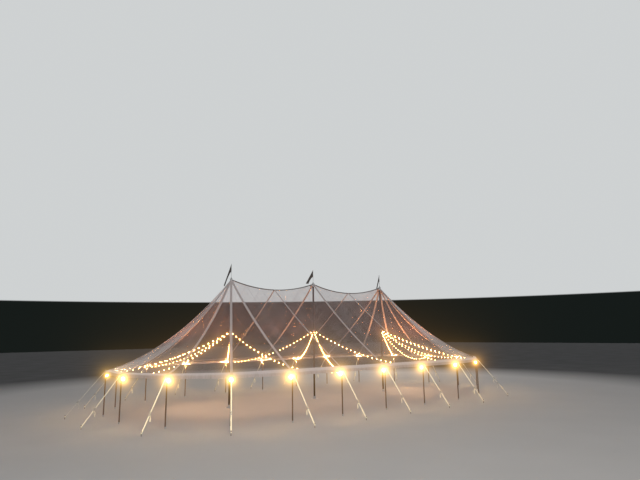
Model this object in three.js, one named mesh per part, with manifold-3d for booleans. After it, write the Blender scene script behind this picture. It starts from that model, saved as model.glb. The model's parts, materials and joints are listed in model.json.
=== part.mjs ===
// A clear-topped pole tent. Three masts carry a peaked film roof with rounded ends,
// side poles stand round the eave, and a guy strap runs from each to its own stake.
// Millimetres, +Z up. The ridge runs along X, the front faces -Y, and the origin is
// on the ground in the middle of the plan.

import * as THREE from 'three';
import { mergeVertices } from 'three/addons/utils/BufferGeometryUtils.js';
import Module from 'manifold-3d';

const wasm = await Module();
wasm.setup();

// Plan and heights
const mastSpacing = 6096;
const bay = mastSpacing / 2;
const halfWidth = 6700;
const endBays = 7;
const eaveHeight = 2320;
const peakHeight = 7427;
const ridgeSag = 510;
const guyReach = 1812;

// How hollow the roof's section is: at a mast, half-way between two, and at the rounded ends
const mastSlack = 0.24;
const midSlack = 0.12;
const endSlack = 0.66;

// Film roof, and the straps sewn over it
const filmThickness = 12;
const slopeSteps = 8;
const slopeSpread = 0.93;
const columnsPerBay = 3;
const columnSpread = 1.12;
const webWidth = 100;
const webThickness = 8;
const webLift = 9;
const ridgeWing = 50;

// Peak: the hub that gathers the straps, and the collar and staff over it
const hubRadius = 74;
const hubRise = 30;
const hubDrop = 130;
const endHole = 80;
const sheetHole = 108;
const collarRadius = 92;
const collarHeight = 14;
const socketRadius = 24;
const socketHeight = 90;
const staffRadius = 9;
const staffHeight = 930;

// Masts and side poles
const mastRadius = 57;
const footWidth = 400;
const footThickness = 12;
const footSocketRadius = 74;
const footSocketHeight = 160;
const poleRadius = 32;

// Lamp under the eave, on a bracket inside each side pole
const lampHeight = 2095;
const lampOffset = 118;
const globeRadius = 58;
const lampCapRadius = 32;
const lampCapHeight = 56;
const bracketWidth = 30;
const bracketHeight = 24;

// Eave belt: a flange over the pole tops with a valance hanging from its outer edge
const flangeHalfWidth = 45;
const flangeThickness = 10;
const valanceThickness = 8;
const valanceDrop = 150;
const valanceLip = 13;

// Guy strap, its ratchet and its stake
const strapWidth = 50;
const strapThickness = 6;
const strapFoot = 110;
const ratchetAlong = 0.68;
const ratchetSize = new THREE.Vector3(190, 76, 52);
const stakeRadius = 15;
const stakeHeight = 190;
const stakeHeadRadius = 24;
const stakeHeadHeight = 22;

// Festoon strings, from a ring part of the way up a mast to the side poles
const stringHubHeight = 4350;
const stringFootHeight = 2235;
const stringRadius = 4;
const stringSteps = 9;
const ringRadius = 72;
const ringHeight = 56;

// Pennant, drooping beside its staff
const pennantLean = Math.PI * 0.8;
const pennantThickness = 24;
const pennantHoist = 450;

// What touching pieces keep between them, and the grid that their corners lie on
const gap = 5 / 16;
const grid = 1 / 64;

const roundSides = 16;
const slimSides = 8;
const up = new THREE.Vector3(0, 0, 1);

const wood = { color: 0x4a3022, roughness: 0.6, metalness: 0 };
const mastWood = { color: 0x3f2a24, roughness: 0.55, metalness: 0 };
const film = { color: 0xcfd3dc, roughness: 0.15, metalness: 0, transparent: true, opacity: 0.35 };
const webbing = { color: 0xe6e2e0, roughness: 0.8, metalness: 0 };
const galvanised = { color: 0x9a9c9e, roughness: 0.45, metalness: 0.9 };
const bunting = { color: 0x4a4a4c, roughness: 0.85, metalness: 0 };
const bulbGlass = { color: 0xffcf86, roughness: 0.3, metalness: 0 };

const tent = new THREE.Group();

function snapped(geometry) {
  const numbers = geometry.attributes.position.array;
  numbers.forEach((number, i) => {
    numbers[i] = Math.round(number / grid) * grid;
  });
  return geometry;
}

function addPiece(name, geometry, finish) {
  const mesh = new THREE.Mesh(snapped(geometry), new THREE.MeshStandardMaterial(finish));
  mesh.name = name;
  tent.add(mesh);
  return mesh;
}

// Closed solids and how they are joined

function toSolid(geometry) {
  const bare = geometry.clone();
  bare.deleteAttribute('normal');
  bare.deleteAttribute('uv');
  const merged = mergeVertices(bare, 1e-3);
  const corners = [];
  for (let i = 0; i < merged.index.count; i += 3) {
    const face = [0, 1, 2].map((n) => merged.index.getX(i + n));
    if (new Set(face).size === 3) corners.push(...face);
  }
  return new wasm.Manifold(new wasm.Mesh({
    numProp: 3,
    vertProperties: Float32Array.from(merged.attributes.position.array),
    triVerts: Uint32Array.from(corners),
  }));
}

function join(geometries) {
  const solid = geometries.map(toSolid).reduce((whole, next) => whole.add(next));
  const mesh = solid.getMesh();
  const geometry = new THREE.BufferGeometry();
  geometry.setAttribute('position', new THREE.BufferAttribute(mesh.vertProperties, 3));
  geometry.setIndex(new THREE.BufferAttribute(mesh.triVerts, 1));
  geometry.computeVertexNormals();
  return geometry;
}

function volumeOf(points, index) {
  let total = 0;
  for (let i = 0; i < index.length; i += 3) {
    const [a, b, c] = index.slice(i, i + 3).map((n) => points[n]);
    total += a.dot(b.clone().cross(c)) / 6;
  }
  return total;
}

// A solid skinned over rings that each go round the same way, with its two ends closed
function loft(rings, capFaces) {
  const size = rings[0].length;
  const points = rings.flat();
  const last = points.length - size;
  const index = [];
  for (let i = 0; i + size < points.length; i += size) {
    for (let j = 0; j < size; j += 1) {
      const a = i + j;
      const b = i + ((j + 1) % size);
      index.push(a, b, b + size, a, b + size, a + size);
    }
  }
  for (const [a, b, c] of capFaces) {
    index.push(a, c, b, last + a, last + b, last + c);
  }
  if (volumeOf(points, index) < 0) index.reverse();
  const geometry = new THREE.BufferGeometry();
  geometry.setAttribute('position', new THREE.BufferAttribute(
    Float32Array.from(points.flatMap((p) => p.toArray())), 3));
  geometry.setIndex(index);
  geometry.computeVertexNormals();
  return geometry;
}

// Cap of a ring that runs along one row of points and back along another
function stripCap(size) {
  const faces = [];
  for (let j = 0; j + 1 < size / 2; j += 1) {
    const back = size - 1 - j;
    faces.push([j, j + 1, back - 1], [j, back - 1, back]);
  }
  return faces;
}

function upright(radiusTop, radiusBottom, height, base, sides = roundSides) {
  return new THREE.CylinderGeometry(radiusTop, radiusBottom, height, sides)
    .rotateX(Math.PI / 2)
    .translate(0, 0, base + height / 2);
}

function turned(profile, sides = roundSides) {
  const points = profile.map(([r, z]) => new THREE.Vector2(r, z));
  return new THREE.LatheGeometry(points, sides).rotateX(Math.PI / 2);
}

// Roof form

const roofEdge = halfWidth + flangeHalfWidth;

// Underside of the film over a section's line, from the ridge (t = 0) to the eave (t = 1)
function roofHeight(ridgeHeight, slack, t) {
  return eaveHeight + (ridgeHeight - eaveHeight) * (1 - t) * (1 - slack * t);
}

// Height of the ridge, and slack of the section, at a distance from the nearer mast
function ridgeHeightAt(distance) {
  return peakHeight - ridgeSag + ridgeSag * (1 - distance / bay) ** 2;
}

function slackAt(distance) {
  return mastSlack + (midSlack - mastSlack) * (distance / bay);
}

// A section of the roof: a plan line from an inner point outwards, and its heights
function section(inner, outward, ridgeHeight, slack, edge) {
  return (distance) => {
    const t = distance / edge;
    const place = inner.clone().addScaledVector(outward, distance);
    place.z = roofHeight(ridgeHeight, slack, t);
    return place;
  };
}

function mastSection(mastX, turn, side) {
  const outward = new THREE.Vector3(side * Math.sin(turn), -Math.cos(turn), 0);
  const slack = mastSlack + (endSlack - mastSlack) * Math.sin(turn) ** (2 / 3);
  const square = Math.sin(turn) < 1e-9;
  const mitre = square ? 1 : 1 / Math.cos(Math.PI / endBays / 2);
  const edge = halfWidth + flangeHalfWidth * mitre;
  const along = section(new THREE.Vector3(mastX, 0, 0), outward, peakHeight, slack, edge);
  return { along, edge, outward };
}

function baySection(x, facing, distance) {
  const outward = new THREE.Vector3(0, facing, 0);
  const inner = new THREE.Vector3(x, 0, 0);
  const along = section(inner, outward, ridgeHeightAt(distance), slackAt(distance), roofEdge);
  return { along, edge: roofEdge, outward };
}

// Distances out along a section's line at which the film and the straps bend, closer
// together towards the eave
function stationsFrom(start, line) {
  const run = line.edge - start;
  const share = (i) => (i / slopeSteps) ** slopeSpread;
  return Array.from({ length: slopeSteps + 1 }, (_, i) => start + run * share(i));
}

function filmRing(line, start) {
  const under = stationsFrom(start, line).map((distance) => {
    const place = line.along(distance);
    return place.setZ(place.z + gap);
  });
  const over = under.map((p) => p.clone().setZ(p.z + filmThickness)).reverse();
  return [...under, ...over];
}

function endTurns() {
  return Array.from({ length: endBays + 1 }, (_, j) => (j * Math.PI) / endBays);
}

// Distances along the ridge from one mast to the next at which the film bends, closer
// together towards the masts
function ridgeColumns(start) {
  const share = (i) => (i / columnsPerBay) ** columnSpread;
  const between = Array.from({ length: columnsPerBay - 1 }, (_, i) => bay * share(i + 1));
  const near = [start, sheetHole, ...between];
  return [...near, bay, ...near.map((x) => mastSpacing - x).reverse()];
}

// Half a round of gores about one mast, made on the right and turned to face its own end
function addRoofEnd(name, mastX, facing) {
  const rings = endTurns().map((turn) => filmRing(mastSection(0, turn, 1), endHole));
  const mesh = addPiece(name, loft(rings, stripCap(rings[0].length)), film);
  mesh.position.x = mastX;
  mesh.rotation.z = facing;
}

// One sheet from mast to mast, on one side of the ridge
function addRoofSheet(name, fromX, facing) {
  const rings = ridgeColumns(gap).map((along) => {
    const distance = Math.min(along, mastSpacing - along);
    const line = baySection(fromX + along, facing, distance);
    return filmRing(line, Math.max(gap, sheetHole - distance));
  });
  addPiece(name, loft(rings, stripCap(rings[0].length)), film);
}

// Straps over the roof

function strapOver(line, distances) {
  const across = line.outward.clone().cross(up).multiplyScalar(webWidth / 2);
  const rings = distances.map((distance) => {
    const place = line.along(distance);
    place.z += gap + filmThickness + webLift;
    const low = [place.clone().sub(across), place.clone().add(across)];
    const high = [...low].reverse().map((p) => p.clone().setZ(p.z + webThickness));
    return [...low, ...high];
  });
  return loft(rings, stripCap(4));
}

function hubAt(mastX) {
  return upright(hubRadius, hubRadius, hubRise + hubDrop, peakHeight - hubDrop, 2 * endBays)
    .translate(mastX, 0, 0);
}

function addMastWebs(name, mastX, turns, side) {
  const straps = turns.map((turn) => {
    const line = mastSection(mastX, turn, side);
    return strapOver(line, [hubRadius / 2, ...stationsFrom(endHole, line)]);
  });
  addPiece(name, join([hubAt(mastX), ...straps]), webbing);
}

// The folded strap along the ridge, from a flat of one hub to the facing flat of the next
function ridgeStrap(fromX) {
  const hubFlat = hubRadius * Math.cos(Math.PI / (2 * endBays));
  const rings = ridgeColumns(hubFlat + gap).map((along) => {
    const distance = Math.min(along, mastSpacing - along);
    const fold = (offset) => {
      const t = Math.abs(offset) / roofEdge;
      const height = roofHeight(ridgeHeightAt(distance), slackAt(distance), t);
      return new THREE.Vector3(fromX + along, offset, height + gap + filmThickness + webLift);
    };
    const low = [-ridgeWing, 0, ridgeWing].map(fold);
    const high = [...low].reverse().map((p) => p.clone().setZ(p.z + webThickness));
    return [...low, ...high];
  });
  return loft(rings, stripCap(6));
}

function addBayWebs(name, fromX) {
  const straps = [-1, 1].map((facing) => {
    const line = baySection(fromX + bay, facing, bay);
    return strapOver(line, stationsFrom(0, line));
  });
  addPiece(name, join([ridgeStrap(fromX), ...straps]), webbing);
}

// Side poles round the eave, anticlockwise from the front's left-hand pole

function straightPoles(facing, word) {
  return Array.from({ length: 5 }, (_, i) => ({
    name: `${word}_${i + 1}`,
    place: new THREE.Vector3((i - 2) * bay, facing * halfWidth, 0),
    outward: new THREE.Vector3(0, facing, 0),
  }));
}

function endPoles(side, word) {
  return endTurns().slice(1, -1).map((turn, j) => {
    const outward = new THREE.Vector3(side * Math.sin(turn), -Math.cos(turn), 0);
    return {
      name: `${word}_${j + 1}`,
      place: outward.clone().multiplyScalar(halfWidth).add(new THREE.Vector3(side * mastSpacing, 0, 0)),
      outward,
    };
  });
}

const frontPoles = straightPoles(-1, 'front');
const backPoles = straightPoles(1, 'back');
const leftPoles = endPoles(-1, 'left');
const rightPoles = endPoles(1, 'right');
const eaveLoop = [
  ...frontPoles, ...rightPoles, ...[...backPoles].reverse(), ...[...leftPoles].reverse(),
];

function sidePole() {
  const top = eaveHeight - flangeThickness - gap;
  const neck = Math.sqrt(globeRadius ** 2 - lampCapRadius ** 2);
  const lamp = turned([
    [0, -globeRadius], [globeRadius * 0.75, -globeRadius * 0.66], [globeRadius, 0],
    [lampCapRadius, neck], [lampCapRadius, neck + lampCapHeight], [0, neck + lampCapHeight],
  ], slimSides).translate(-lampOffset, 0, lampHeight);
  const bracket = new THREE.BoxGeometry(lampOffset, bracketWidth, bracketHeight)
    .translate(-lampOffset / 2, 0, lampHeight + neck + lampCapHeight - bracketHeight);
  return join([upright(poleRadius, poleRadius, top, 0, slimSides), bracket, lamp]);
}

// Eave belts, each with the guys of its own poles

const beltShape = [
  [-flangeHalfWidth, -flangeThickness],
  [flangeHalfWidth, -flangeThickness],
  [flangeHalfWidth, -valanceDrop],
  [flangeHalfWidth + valanceThickness, -valanceDrop],
  [flangeHalfWidth + valanceThickness, valanceLip],
  [flangeHalfWidth + gap, valanceLip],
  [flangeHalfWidth + gap, 0],
  [-flangeHalfWidth, 0],
];

function beltAlong(plan) {
  const rings = plan.map((place, i) => {
    const before = plan[Math.max(i - 1, 0)];
    const after = plan[Math.min(i + 1, plan.length - 1)];
    const normals = [[before, place], [place, after]]
      .filter(([a, b]) => a !== b)
      .map(([a, b]) => b.clone().sub(a).cross(up).normalize());
    const sum = normals.reduce((whole, n) => whole.clone().add(n), new THREE.Vector3());
    const mitre = sum.multiplyScalar(2 / sum.lengthSq() * (normals.length / 2));
    return beltShape.map(([offset, height]) =>
      place.clone().addScaledVector(mitre, offset).setZ(eaveHeight + height));
  });
  const outline = beltShape.map(([x, y]) => new THREE.Vector2(x, y));
  return loft(rings, THREE.ShapeUtils.triangulateShape(outline, []));
}

// Guy with its ratchet and stake, for a pole at the origin whose outward side is +X
function guy() {
  const top = new THREE.Vector3(flangeHalfWidth + valanceThickness / 2, 0, eaveHeight - 20);
  const foot = new THREE.Vector3(guyReach, 0, strapFoot);
  const run = foot.clone().sub(top);
  const slope = Math.atan2(-run.z, run.x);
  const strap = new THREE.BoxGeometry(run.length(), strapWidth, strapThickness)
    .rotateY(slope)
    .translate(...top.clone().add(foot).multiplyScalar(0.5).toArray());
  const ratchet = new THREE.BoxGeometry(...ratchetSize.toArray())
    .rotateY(slope)
    .translate(...top.clone().addScaledVector(run, ratchetAlong).toArray());
  const stake = upright(stakeRadius, stakeRadius, stakeHeight, 0, slimSides).translate(guyReach, 0, 0);
  const head = upright(stakeHeadRadius, stakeHeadRadius, stakeHeadHeight, stakeHeight, slimSides)
    .translate(guyReach, 0, 0);
  return [strap, ratchet, stake, head];
}

function facing(pole) {
  return Math.atan2(pole.outward.y, pole.outward.x);
}

function addEave(name, first, count) {
  const at = (i) => eaveLoop[(i + eaveLoop.length) % eaveLoop.length].place;
  const halfWay = (i, j, nudge) => {
    const run = at(j).clone().sub(at(i));
    return at(i).clone().addScaledVector(run, 0.5).addScaledVector(run.normalize(), nudge);
  };
  const last = first + count - 1;
  const poles = eaveLoop.slice(first, first + count);
  const plan = [
    halfWay(first - 1, first, gap / 2),
    ...poles.map((pole) => pole.place),
    halfWay(last, last + 1, -gap / 2),
  ];
  const guys = poles.flatMap((pole) =>
    guy().map((part) => part.rotateZ(facing(pole)).translate(...pole.place.toArray())));
  addPiece(name, join([beltAlong(plan), ...guys]), webbing);
}

// Masts, feet, crowns and pennants

const mastTop = peakHeight - hubDrop - gap;

const mastFoot = turned([
  [0, 0], [footSocketRadius, 0], [footSocketRadius, footSocketHeight],
  [mastRadius + gap, footSocketHeight], [mastRadius + gap, footThickness], [0, footThickness],
]);

const footPlate = new THREE.BoxGeometry(footWidth, footWidth, footThickness)
  .translate(0, 0, footThickness / 2);

const crownTop = collarHeight + socketHeight;
const crown = turned([
  [0, 0], [collarRadius, 0], [collarRadius, collarHeight], [socketRadius, collarHeight * 2],
  [socketRadius, crownTop], [staffRadius, crownTop], [staffRadius, staffHeight], [0, staffHeight],
], 12);

// The cloth is tied down the staff; its outer edge falls straight to a blunt end and its inner edge bends
function pennant(reach, drop, blunt) {
  const top = staffHeight - 20;
  const near = staffRadius + gap;
  const low = top - drop;
  const outline = new THREE.Shape();
  outline.moveTo(near, top);
  outline.lineTo(near, top - pennantHoist);
  outline.quadraticCurveTo(0.36 * reach, top - 0.8 * pennantHoist - 0.2 * drop, reach - blunt, low);
  outline.lineTo(reach, low + 0.02 * drop);
  outline.lineTo(near, top);
  return new THREE.ExtrudeGeometry(outline, {
    depth: pennantThickness, bevelEnabled: false, curveSegments: 5,
  }).translate(0, 0, -pennantThickness / 2).rotateX(Math.PI / 2).rotateZ(pennantLean);
}

// Festoon strings

function stringTo(mastX, pole, sag) {
  const from = new THREE.Vector3(mastX, 0, stringHubHeight);
  const to = pole.place.clone().setZ(stringFootHeight);
  const run = to.clone().sub(from).setZ(0).normalize();
  from.addScaledVector(run, ringRadius - 10);
  to.addScaledVector(run, -poleRadius - 2);
  const middle = from.clone().add(to).multiplyScalar(0.5);
  const route = new THREE.QuadraticBezierCurve3(from, middle.setZ(middle.z - 2 * sag), to);
  const ring = new THREE.Shape();
  ring.absarc(0, 0, stringRadius, 0, 2 * Math.PI);
  return new THREE.ExtrudeGeometry(ring, {
    steps: stringSteps, curveSegments: 4, extrudePath: route,
  });
}

function addStrings(name, mastX, runs) {
  const inner = mastRadius + gap;
  const ring = turned([
    [inner, -ringHeight / 2], [ringRadius, -ringHeight / 2],
    [ringRadius, ringHeight / 2], [inner, ringHeight / 2], [inner, -ringHeight / 2],
  ]).translate(mastX, 0, stringHubHeight);
  const strings = runs.map(([pole, sag]) => stringTo(mastX, pole, sag));
  addPiece(name, join([ring, ...strings]), bulbGlass);
}

// Assembly

const masts = [
  { word: 'left', x: -mastSpacing, reach: 450, drop: 1330, blunt: 75 },
  { word: 'centre', x: 0, reach: 500, drop: 910, blunt: 185 },
  { word: 'right', x: mastSpacing, reach: 250, drop: 1000, blunt: 75 },
];

for (const { word, x, reach, drop, blunt } of masts) {
  const shaft = upright(mastRadius, mastRadius, mastTop - footThickness - gap, footThickness + gap);
  addPiece(`mast_${word}`, shaft, mastWood).position.x = x;
  addPiece(`mast_foot_${word}`, join([footPlate, mastFoot]), galvanised).position.x = x;
  const top = peakHeight + hubRise + gap;
  addPiece(`crown_${word}`, crown.clone(), galvanised).position.set(x, 0, top);
  addPiece(`pennant_${word}`, pennant(reach, drop, blunt), bunting).position.set(x, 0, top);
}

const poleGeometry = sidePole();
for (const pole of eaveLoop) {
  const mesh = addPiece(`side_pole_${pole.name}`, poleGeometry.clone(), wood);
  mesh.position.copy(pole.place);
  mesh.rotation.z = facing(pole);
}

addRoofEnd('roof_left_end', -mastSpacing, Math.PI);
addRoofEnd('roof_right_end', mastSpacing, 0);
addRoofSheet('roof_front_left', -mastSpacing, -1);
addRoofSheet('roof_front_right', 0, -1);
addRoofSheet('roof_back_left', -mastSpacing, 1);
addRoofSheet('roof_back_right', 0, 1);

addMastWebs('webs_left', -mastSpacing, endTurns(), -1);
addMastWebs('webs_centre', 0, [0, Math.PI], 1);
addMastWebs('webs_right', mastSpacing, endTurns(), 1);
addBayWebs('bay_webs_left', -mastSpacing);
addBayWebs('bay_webs_right', 0);

addEave('eave_front', 0, 5);
addEave('eave_right_end', 5, 6);
addEave('eave_back', 11, 5);
addEave('eave_left_end', 16, 6);

// Each string is named by its pole, and by how far it sags
addStrings('string_lights_left', -mastSpacing, [
  [frontPoles[1], 720], [backPoles[1], 490], [leftPoles[0], 490],
  [leftPoles[2], 600], [leftPoles[3], 400], [leftPoles[4], 400], [leftPoles[5], 450],
]);
addStrings('string_lights_centre', 0, [
  [frontPoles[1], 490], [frontPoles[3], 490], [backPoles[1], 490], [backPoles[3], 490],
]);
addStrings('string_lights_right', mastSpacing, [
  [frontPoles[4], 500], [rightPoles[0], 200], [rightPoles[1], 350],
  [rightPoles[2], 600], [rightPoles[3], 880], [rightPoles[4], 130],
]);

export default tent;
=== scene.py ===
# A clear-topped pole tent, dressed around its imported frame.
# Metres, +Z up, the ridge along X and the front towards -Y.
import json

import bmesh
import bpy
import numpy as np
from mathutils import Matrix, Vector

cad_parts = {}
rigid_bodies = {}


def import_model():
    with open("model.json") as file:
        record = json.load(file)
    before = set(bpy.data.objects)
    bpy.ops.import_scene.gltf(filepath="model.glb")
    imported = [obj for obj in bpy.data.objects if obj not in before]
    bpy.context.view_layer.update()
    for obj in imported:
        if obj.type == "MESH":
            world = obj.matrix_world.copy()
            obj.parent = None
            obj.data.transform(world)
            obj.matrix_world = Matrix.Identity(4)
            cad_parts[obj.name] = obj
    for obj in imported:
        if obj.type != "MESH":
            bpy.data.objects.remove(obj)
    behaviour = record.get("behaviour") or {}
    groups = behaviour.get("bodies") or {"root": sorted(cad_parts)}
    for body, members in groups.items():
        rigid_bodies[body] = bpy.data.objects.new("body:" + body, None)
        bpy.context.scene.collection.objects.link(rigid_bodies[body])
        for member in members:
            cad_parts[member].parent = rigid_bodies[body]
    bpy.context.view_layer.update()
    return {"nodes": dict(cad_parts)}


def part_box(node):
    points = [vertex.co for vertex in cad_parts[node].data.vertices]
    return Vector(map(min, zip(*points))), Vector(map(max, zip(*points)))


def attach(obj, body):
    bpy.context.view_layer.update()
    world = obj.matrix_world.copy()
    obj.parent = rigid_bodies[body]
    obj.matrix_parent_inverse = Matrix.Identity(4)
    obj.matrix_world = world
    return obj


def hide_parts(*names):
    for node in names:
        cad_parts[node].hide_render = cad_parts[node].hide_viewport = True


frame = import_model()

print("frame loaded:", len(frame["nodes"]), "nodes")


def addObject(name, data):
    # every object stays at the origin unless it is moved later
    made = bpy.data.objects.new(name, data)
    bpy.context.scene.collection.objects.link(made)
    return made


# Camera: it stands off the front's left-hand corner, a little above the eave

photoCamera = {
    "place": (-19.880, -27.740, 4.106),
    "yaw": 0.6367,        # turned from +Y towards +X
    "pitch": 0.1841,      # raised above level
    "roll": -0.0147,
    "focalPixels": 505.27,
    "imageWidth": 640,
    "sensorWidth": 36.0,
    "clipEnd": 400.0,
}


def addCamera(values):
    # forward comes from yaw and pitch; right and up are square to it, turned by the roll
    yaw, pitch, roll = values["yaw"], values["pitch"], values["roll"]
    forward = np.array([np.sin(yaw) * np.cos(pitch), np.cos(yaw) * np.cos(pitch), np.sin(pitch)])
    level = np.array([np.cos(yaw), -np.sin(yaw), 0.0])
    above = np.cross(level, forward)
    right = np.cos(roll) * level + np.sin(roll) * above
    up = np.cos(roll) * above - np.sin(roll) * level
    turn = np.eye(4)
    turn[:3] = np.column_stack([right, up, -forward, values["place"]])
    camera = addObject("photo_camera", bpy.data.cameras.new("photo_camera"))
    camera.data.sensor_fit = "HORIZONTAL"
    camera.data.sensor_width = values["sensorWidth"]
    camera.data.lens = values["focalPixels"] / values["imageWidth"] * values["sensorWidth"]
    camera.data.clip_end = values["clipEnd"]
    camera.matrix_world = Matrix(turn.tolist())
    bpy.context.scene.camera = camera


addCamera(photoCamera)

# Node trees: a wire is a socket that arithmetic can be done on, and a graph is the tree it is in


class Wire:
    def __init__(self, graph, socket):
        self.graph = graph
        self.socket = socket

    def other(self, name):
        return Wire(self.graph, self.socket.node.outputs[name])

    def math(self, operation, *values):
        return self.graph.node("ShaderNodeMath", {"operation": operation}, dict(enumerate(values)))

    def __add__(self, value):
        return self.math("ADD", self, value)

    def __radd__(self, value):
        return self.math("ADD", value, self)

    def __sub__(self, value):
        return self.math("SUBTRACT", self, value)

    def __rsub__(self, value):
        return self.math("SUBTRACT", value, self)

    def __mul__(self, value):
        return self.math("MULTIPLY", self, value)

    def __rmul__(self, value):
        return self.math("MULTIPLY", value, self)

    def __mod__(self, value):
        return self.math("FLOORED_MODULO", self, value)

    def __lt__(self, value):
        return self.math("LESS_THAN", self, value)

    def __gt__(self, value):
        return self.math("GREATER_THAN", self, value)

    def __abs__(self):
        return self.math("ABSOLUTE", self)

    def sine(self):
        return self.math("SINE", self)

    def ramp(self, low, high):
        # 0 below low, 1 above high and straight between, clamped
        return self.graph.node("ShaderNodeMapRange", {"clamp": True}, {0: self, 1: low, 2: high})


class Graph:
    def __init__(self, owner):
        # the owner is a material, the world or the scene
        owner.use_nodes = True
        self.owner = owner
        self.tree = owner.node_tree
        self.tree.nodes.clear()

    def node(self, kind, settings=None, inputs=None, output=0):
        # settings are set first, then sockets by name or number; what comes back is one output
        made = self.tree.nodes.new(kind)
        for name, value in (settings or {}).items():
            setattr(made, name, value)
        for name, value in (inputs or {}).items():
            if isinstance(value, Wire):
                self.tree.links.new(value.socket, made.inputs[name])
            else:
                made.inputs[name].default_value = value
        return Wire(self, made.outputs[output]) if made.outputs else None

    def place(self, kind="Object"):
        return self.node("ShaderNodeTexCoord", None, None, kind)

    def stretched(self, vector, scale):
        return self.node("ShaderNodeVectorMath", {"operation": "MULTIPLY"}, {0: vector, 1: scale})

    def parts(self, vector):
        first = self.node("ShaderNodeSeparateXYZ", None, {0: vector})
        return first, first.other("Y"), first.other("Z")

    def noise(self, vector, scale, detail=3.0, roughness=0.5):
        values = {"Vector": vector, "Scale": scale, "Detail": detail, "Roughness": roughness}
        return self.node("ShaderNodeTexNoise", None, values)

    def cells(self, vector, scale):
        values = {"Vector": vector, "Scale": scale}
        return self.node("ShaderNodeTexVoronoi", {"feature": "F1"}, values, "Distance")

    def blend(self, factor, first, second):
        values = {0: factor, 6: (*first, 1.0) if isinstance(first, tuple) else first}
        values[7] = (*second, 1.0) if isinstance(second, tuple) else second
        return self.node("ShaderNodeMix", {"data_type": "RGBA"}, values, 2)

    def bump(self, height, strength, distance):
        values = {"Height": height, "Strength": strength, "Distance": distance}
        return self.node("ShaderNodeBump", None, values)

    def surface(self, **inputs):
        # closes a material's tree with its shader, and gives the material
        named = {name.replace("_", " "): value for name, value in inputs.items()}
        shader = self.node("ShaderNodeBsdfPrincipled", None, named)
        self.node("ShaderNodeOutputMaterial", None, {"Surface": shader})
        return self.owner


def newMaterial(name):
    # an empty tree, ready for its nodes
    return Graph(bpy.data.materials.new(name))


# Studio: a pale floor that falls away to dark, a graded backdrop, a soft dome, soft lights and halos

studio = {
    "viewTransform": "Standard",
    "domeColour": (0.92, 0.94, 1.0, 1.0),
    "domeStrength": 0.27,
    "backdropLow": (0.008, 0.011, 0.010),
    "backdropHigh": (0.62, 0.64, 0.645),
    "backdropRise": (0.0622, 0.0640),    # sine of the elevation where the rise starts and ends
    "floorHalf": 150.0,
    "floorPale": (0.50, 0.49, 0.475),
    "floorDark": (0.030, 0.029, 0.030),
    "floorFade": (23.0, 33.0),           # metres from the middle of the tent
    "floorWorn": (0.30, 0.30, 0.30),
    "softLights": (                      # place, diameter, power and colour
        ((-16.0, -26.0, 22.0), 18.0, 3300.0, (1.0, 0.97, 0.93)),
        ((24.0, 22.0, 17.0), 18.0, 2400.0, (1.0, 0.93, 0.88)),
    ),
    "stringLights": (                    # what one string's bulbs shed up and down: turn, power and colour
        (np.pi, 54.0, (1.0, 0.40, 0.15)),
        (0.0, 13.0, (1.0, 0.62, 0.33)),
    ),
    "stringShare": 0.38,                 # how far along the string the disk lies
    "stringSpread": 1.1,
    "guyPower": 3.6,                     # what the lamps throw down the guys, gathered in one light
    "guyColour": (1.0, 0.86, 0.60),
    "guyFrom": (-0.45, -0.75, 0.55),
    "guySoftness": 0.4,
    "glows": (("BLOOM", 0.50), ("FOG_GLOW", 0.15)),     # kind and size of each halo
    "glowThreshold": 1.3,
    "glowTint": (1.0, 0.86, 0.42, 1.0),
}


def addBackdrop(values):
    # the camera and reflections see a tone graded by elevation; all else is lit by an even dome
    world = bpy.data.worlds.new("studio")
    bpy.context.scene.world = world
    graph = Graph(world)
    rise = graph.parts(graph.place("Generated"))[2].ramp(*values["backdropRise"])
    tone = graph.blend(rise, values["backdropLow"], values["backdropHigh"])
    seen = graph.node("ShaderNodeBackground", None, {"Color": tone, "Strength": 1.0})
    dome = {"Color": values["domeColour"], "Strength": values["domeStrength"]}
    soft = graph.node("ShaderNodeBackground", None, dome)
    straight = graph.node("ShaderNodeLightPath", None, None, "Is Camera Ray")
    mirrored = straight.math("MAXIMUM", straight, straight.other("Is Glossy Ray"))
    both = graph.node("ShaderNodeMixShader", None, {0: mirrored, 1: soft, 2: seen})
    graph.node("ShaderNodeOutputWorld", None, {"Surface": both})


def addLight(name, kind, turn, power, colour, own):
    # own holds what only that kind of light has; turn is in Euler angles
    light = bpy.data.lights.new(name, kind)
    light.energy = power
    light.color = colour
    for key, value in own.items():
        setattr(light, key, value)
    lamp = addObject(name, light)
    lamp.rotation_euler = turn
    return lamp


def turnFrom(place):
    # the turn of a light at that place that shines at the middle of the tent
    return Vector(place).to_track_quat("Z", "Y").to_euler()


def addSoftLights(values):
    # two wide disks, one on the camera's side and one behind the tent
    for place, size, power, colour in values["softLights"]:
        own = {"shape": "DISK", "size": size}
        lamp = addLight("soft_light", "AREA", turnFrom(place), power, colour, own)
        lamp.location = place


def addFloor(values):
    # pale under the tent, and darker with the distance from its middle
    half = values["floorHalf"]
    mesh = bpy.data.meshes.new("floor")
    corners = [(-half, -half, 0.0), (half, -half, 0.0), (half, half, 0.0), (-half, half, 0.0)]
    mesh.from_pydata(corners, [], [(0, 1, 2, 3)])
    floor = addObject("floor", mesh)
    graph = newMaterial("studio_floor")
    place = graph.place()
    away = graph.node("ShaderNodeVectorMath", {"operation": "LENGTH"}, {0: place}, "Value")
    mottle = graph.noise(place, 0.35, 4.0)
    tone = graph.blend(away.ramp(*values["floorFade"]), values["floorPale"], values["floorDark"])
    worn = graph.blend(mottle.ramp(0.3, 0.8) * 0.12, tone, values["floorWorn"])
    mesh.materials.append(graph.surface(Base_Color=worn, Roughness=0.85, Specular_IOR_Level=0.2))


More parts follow.
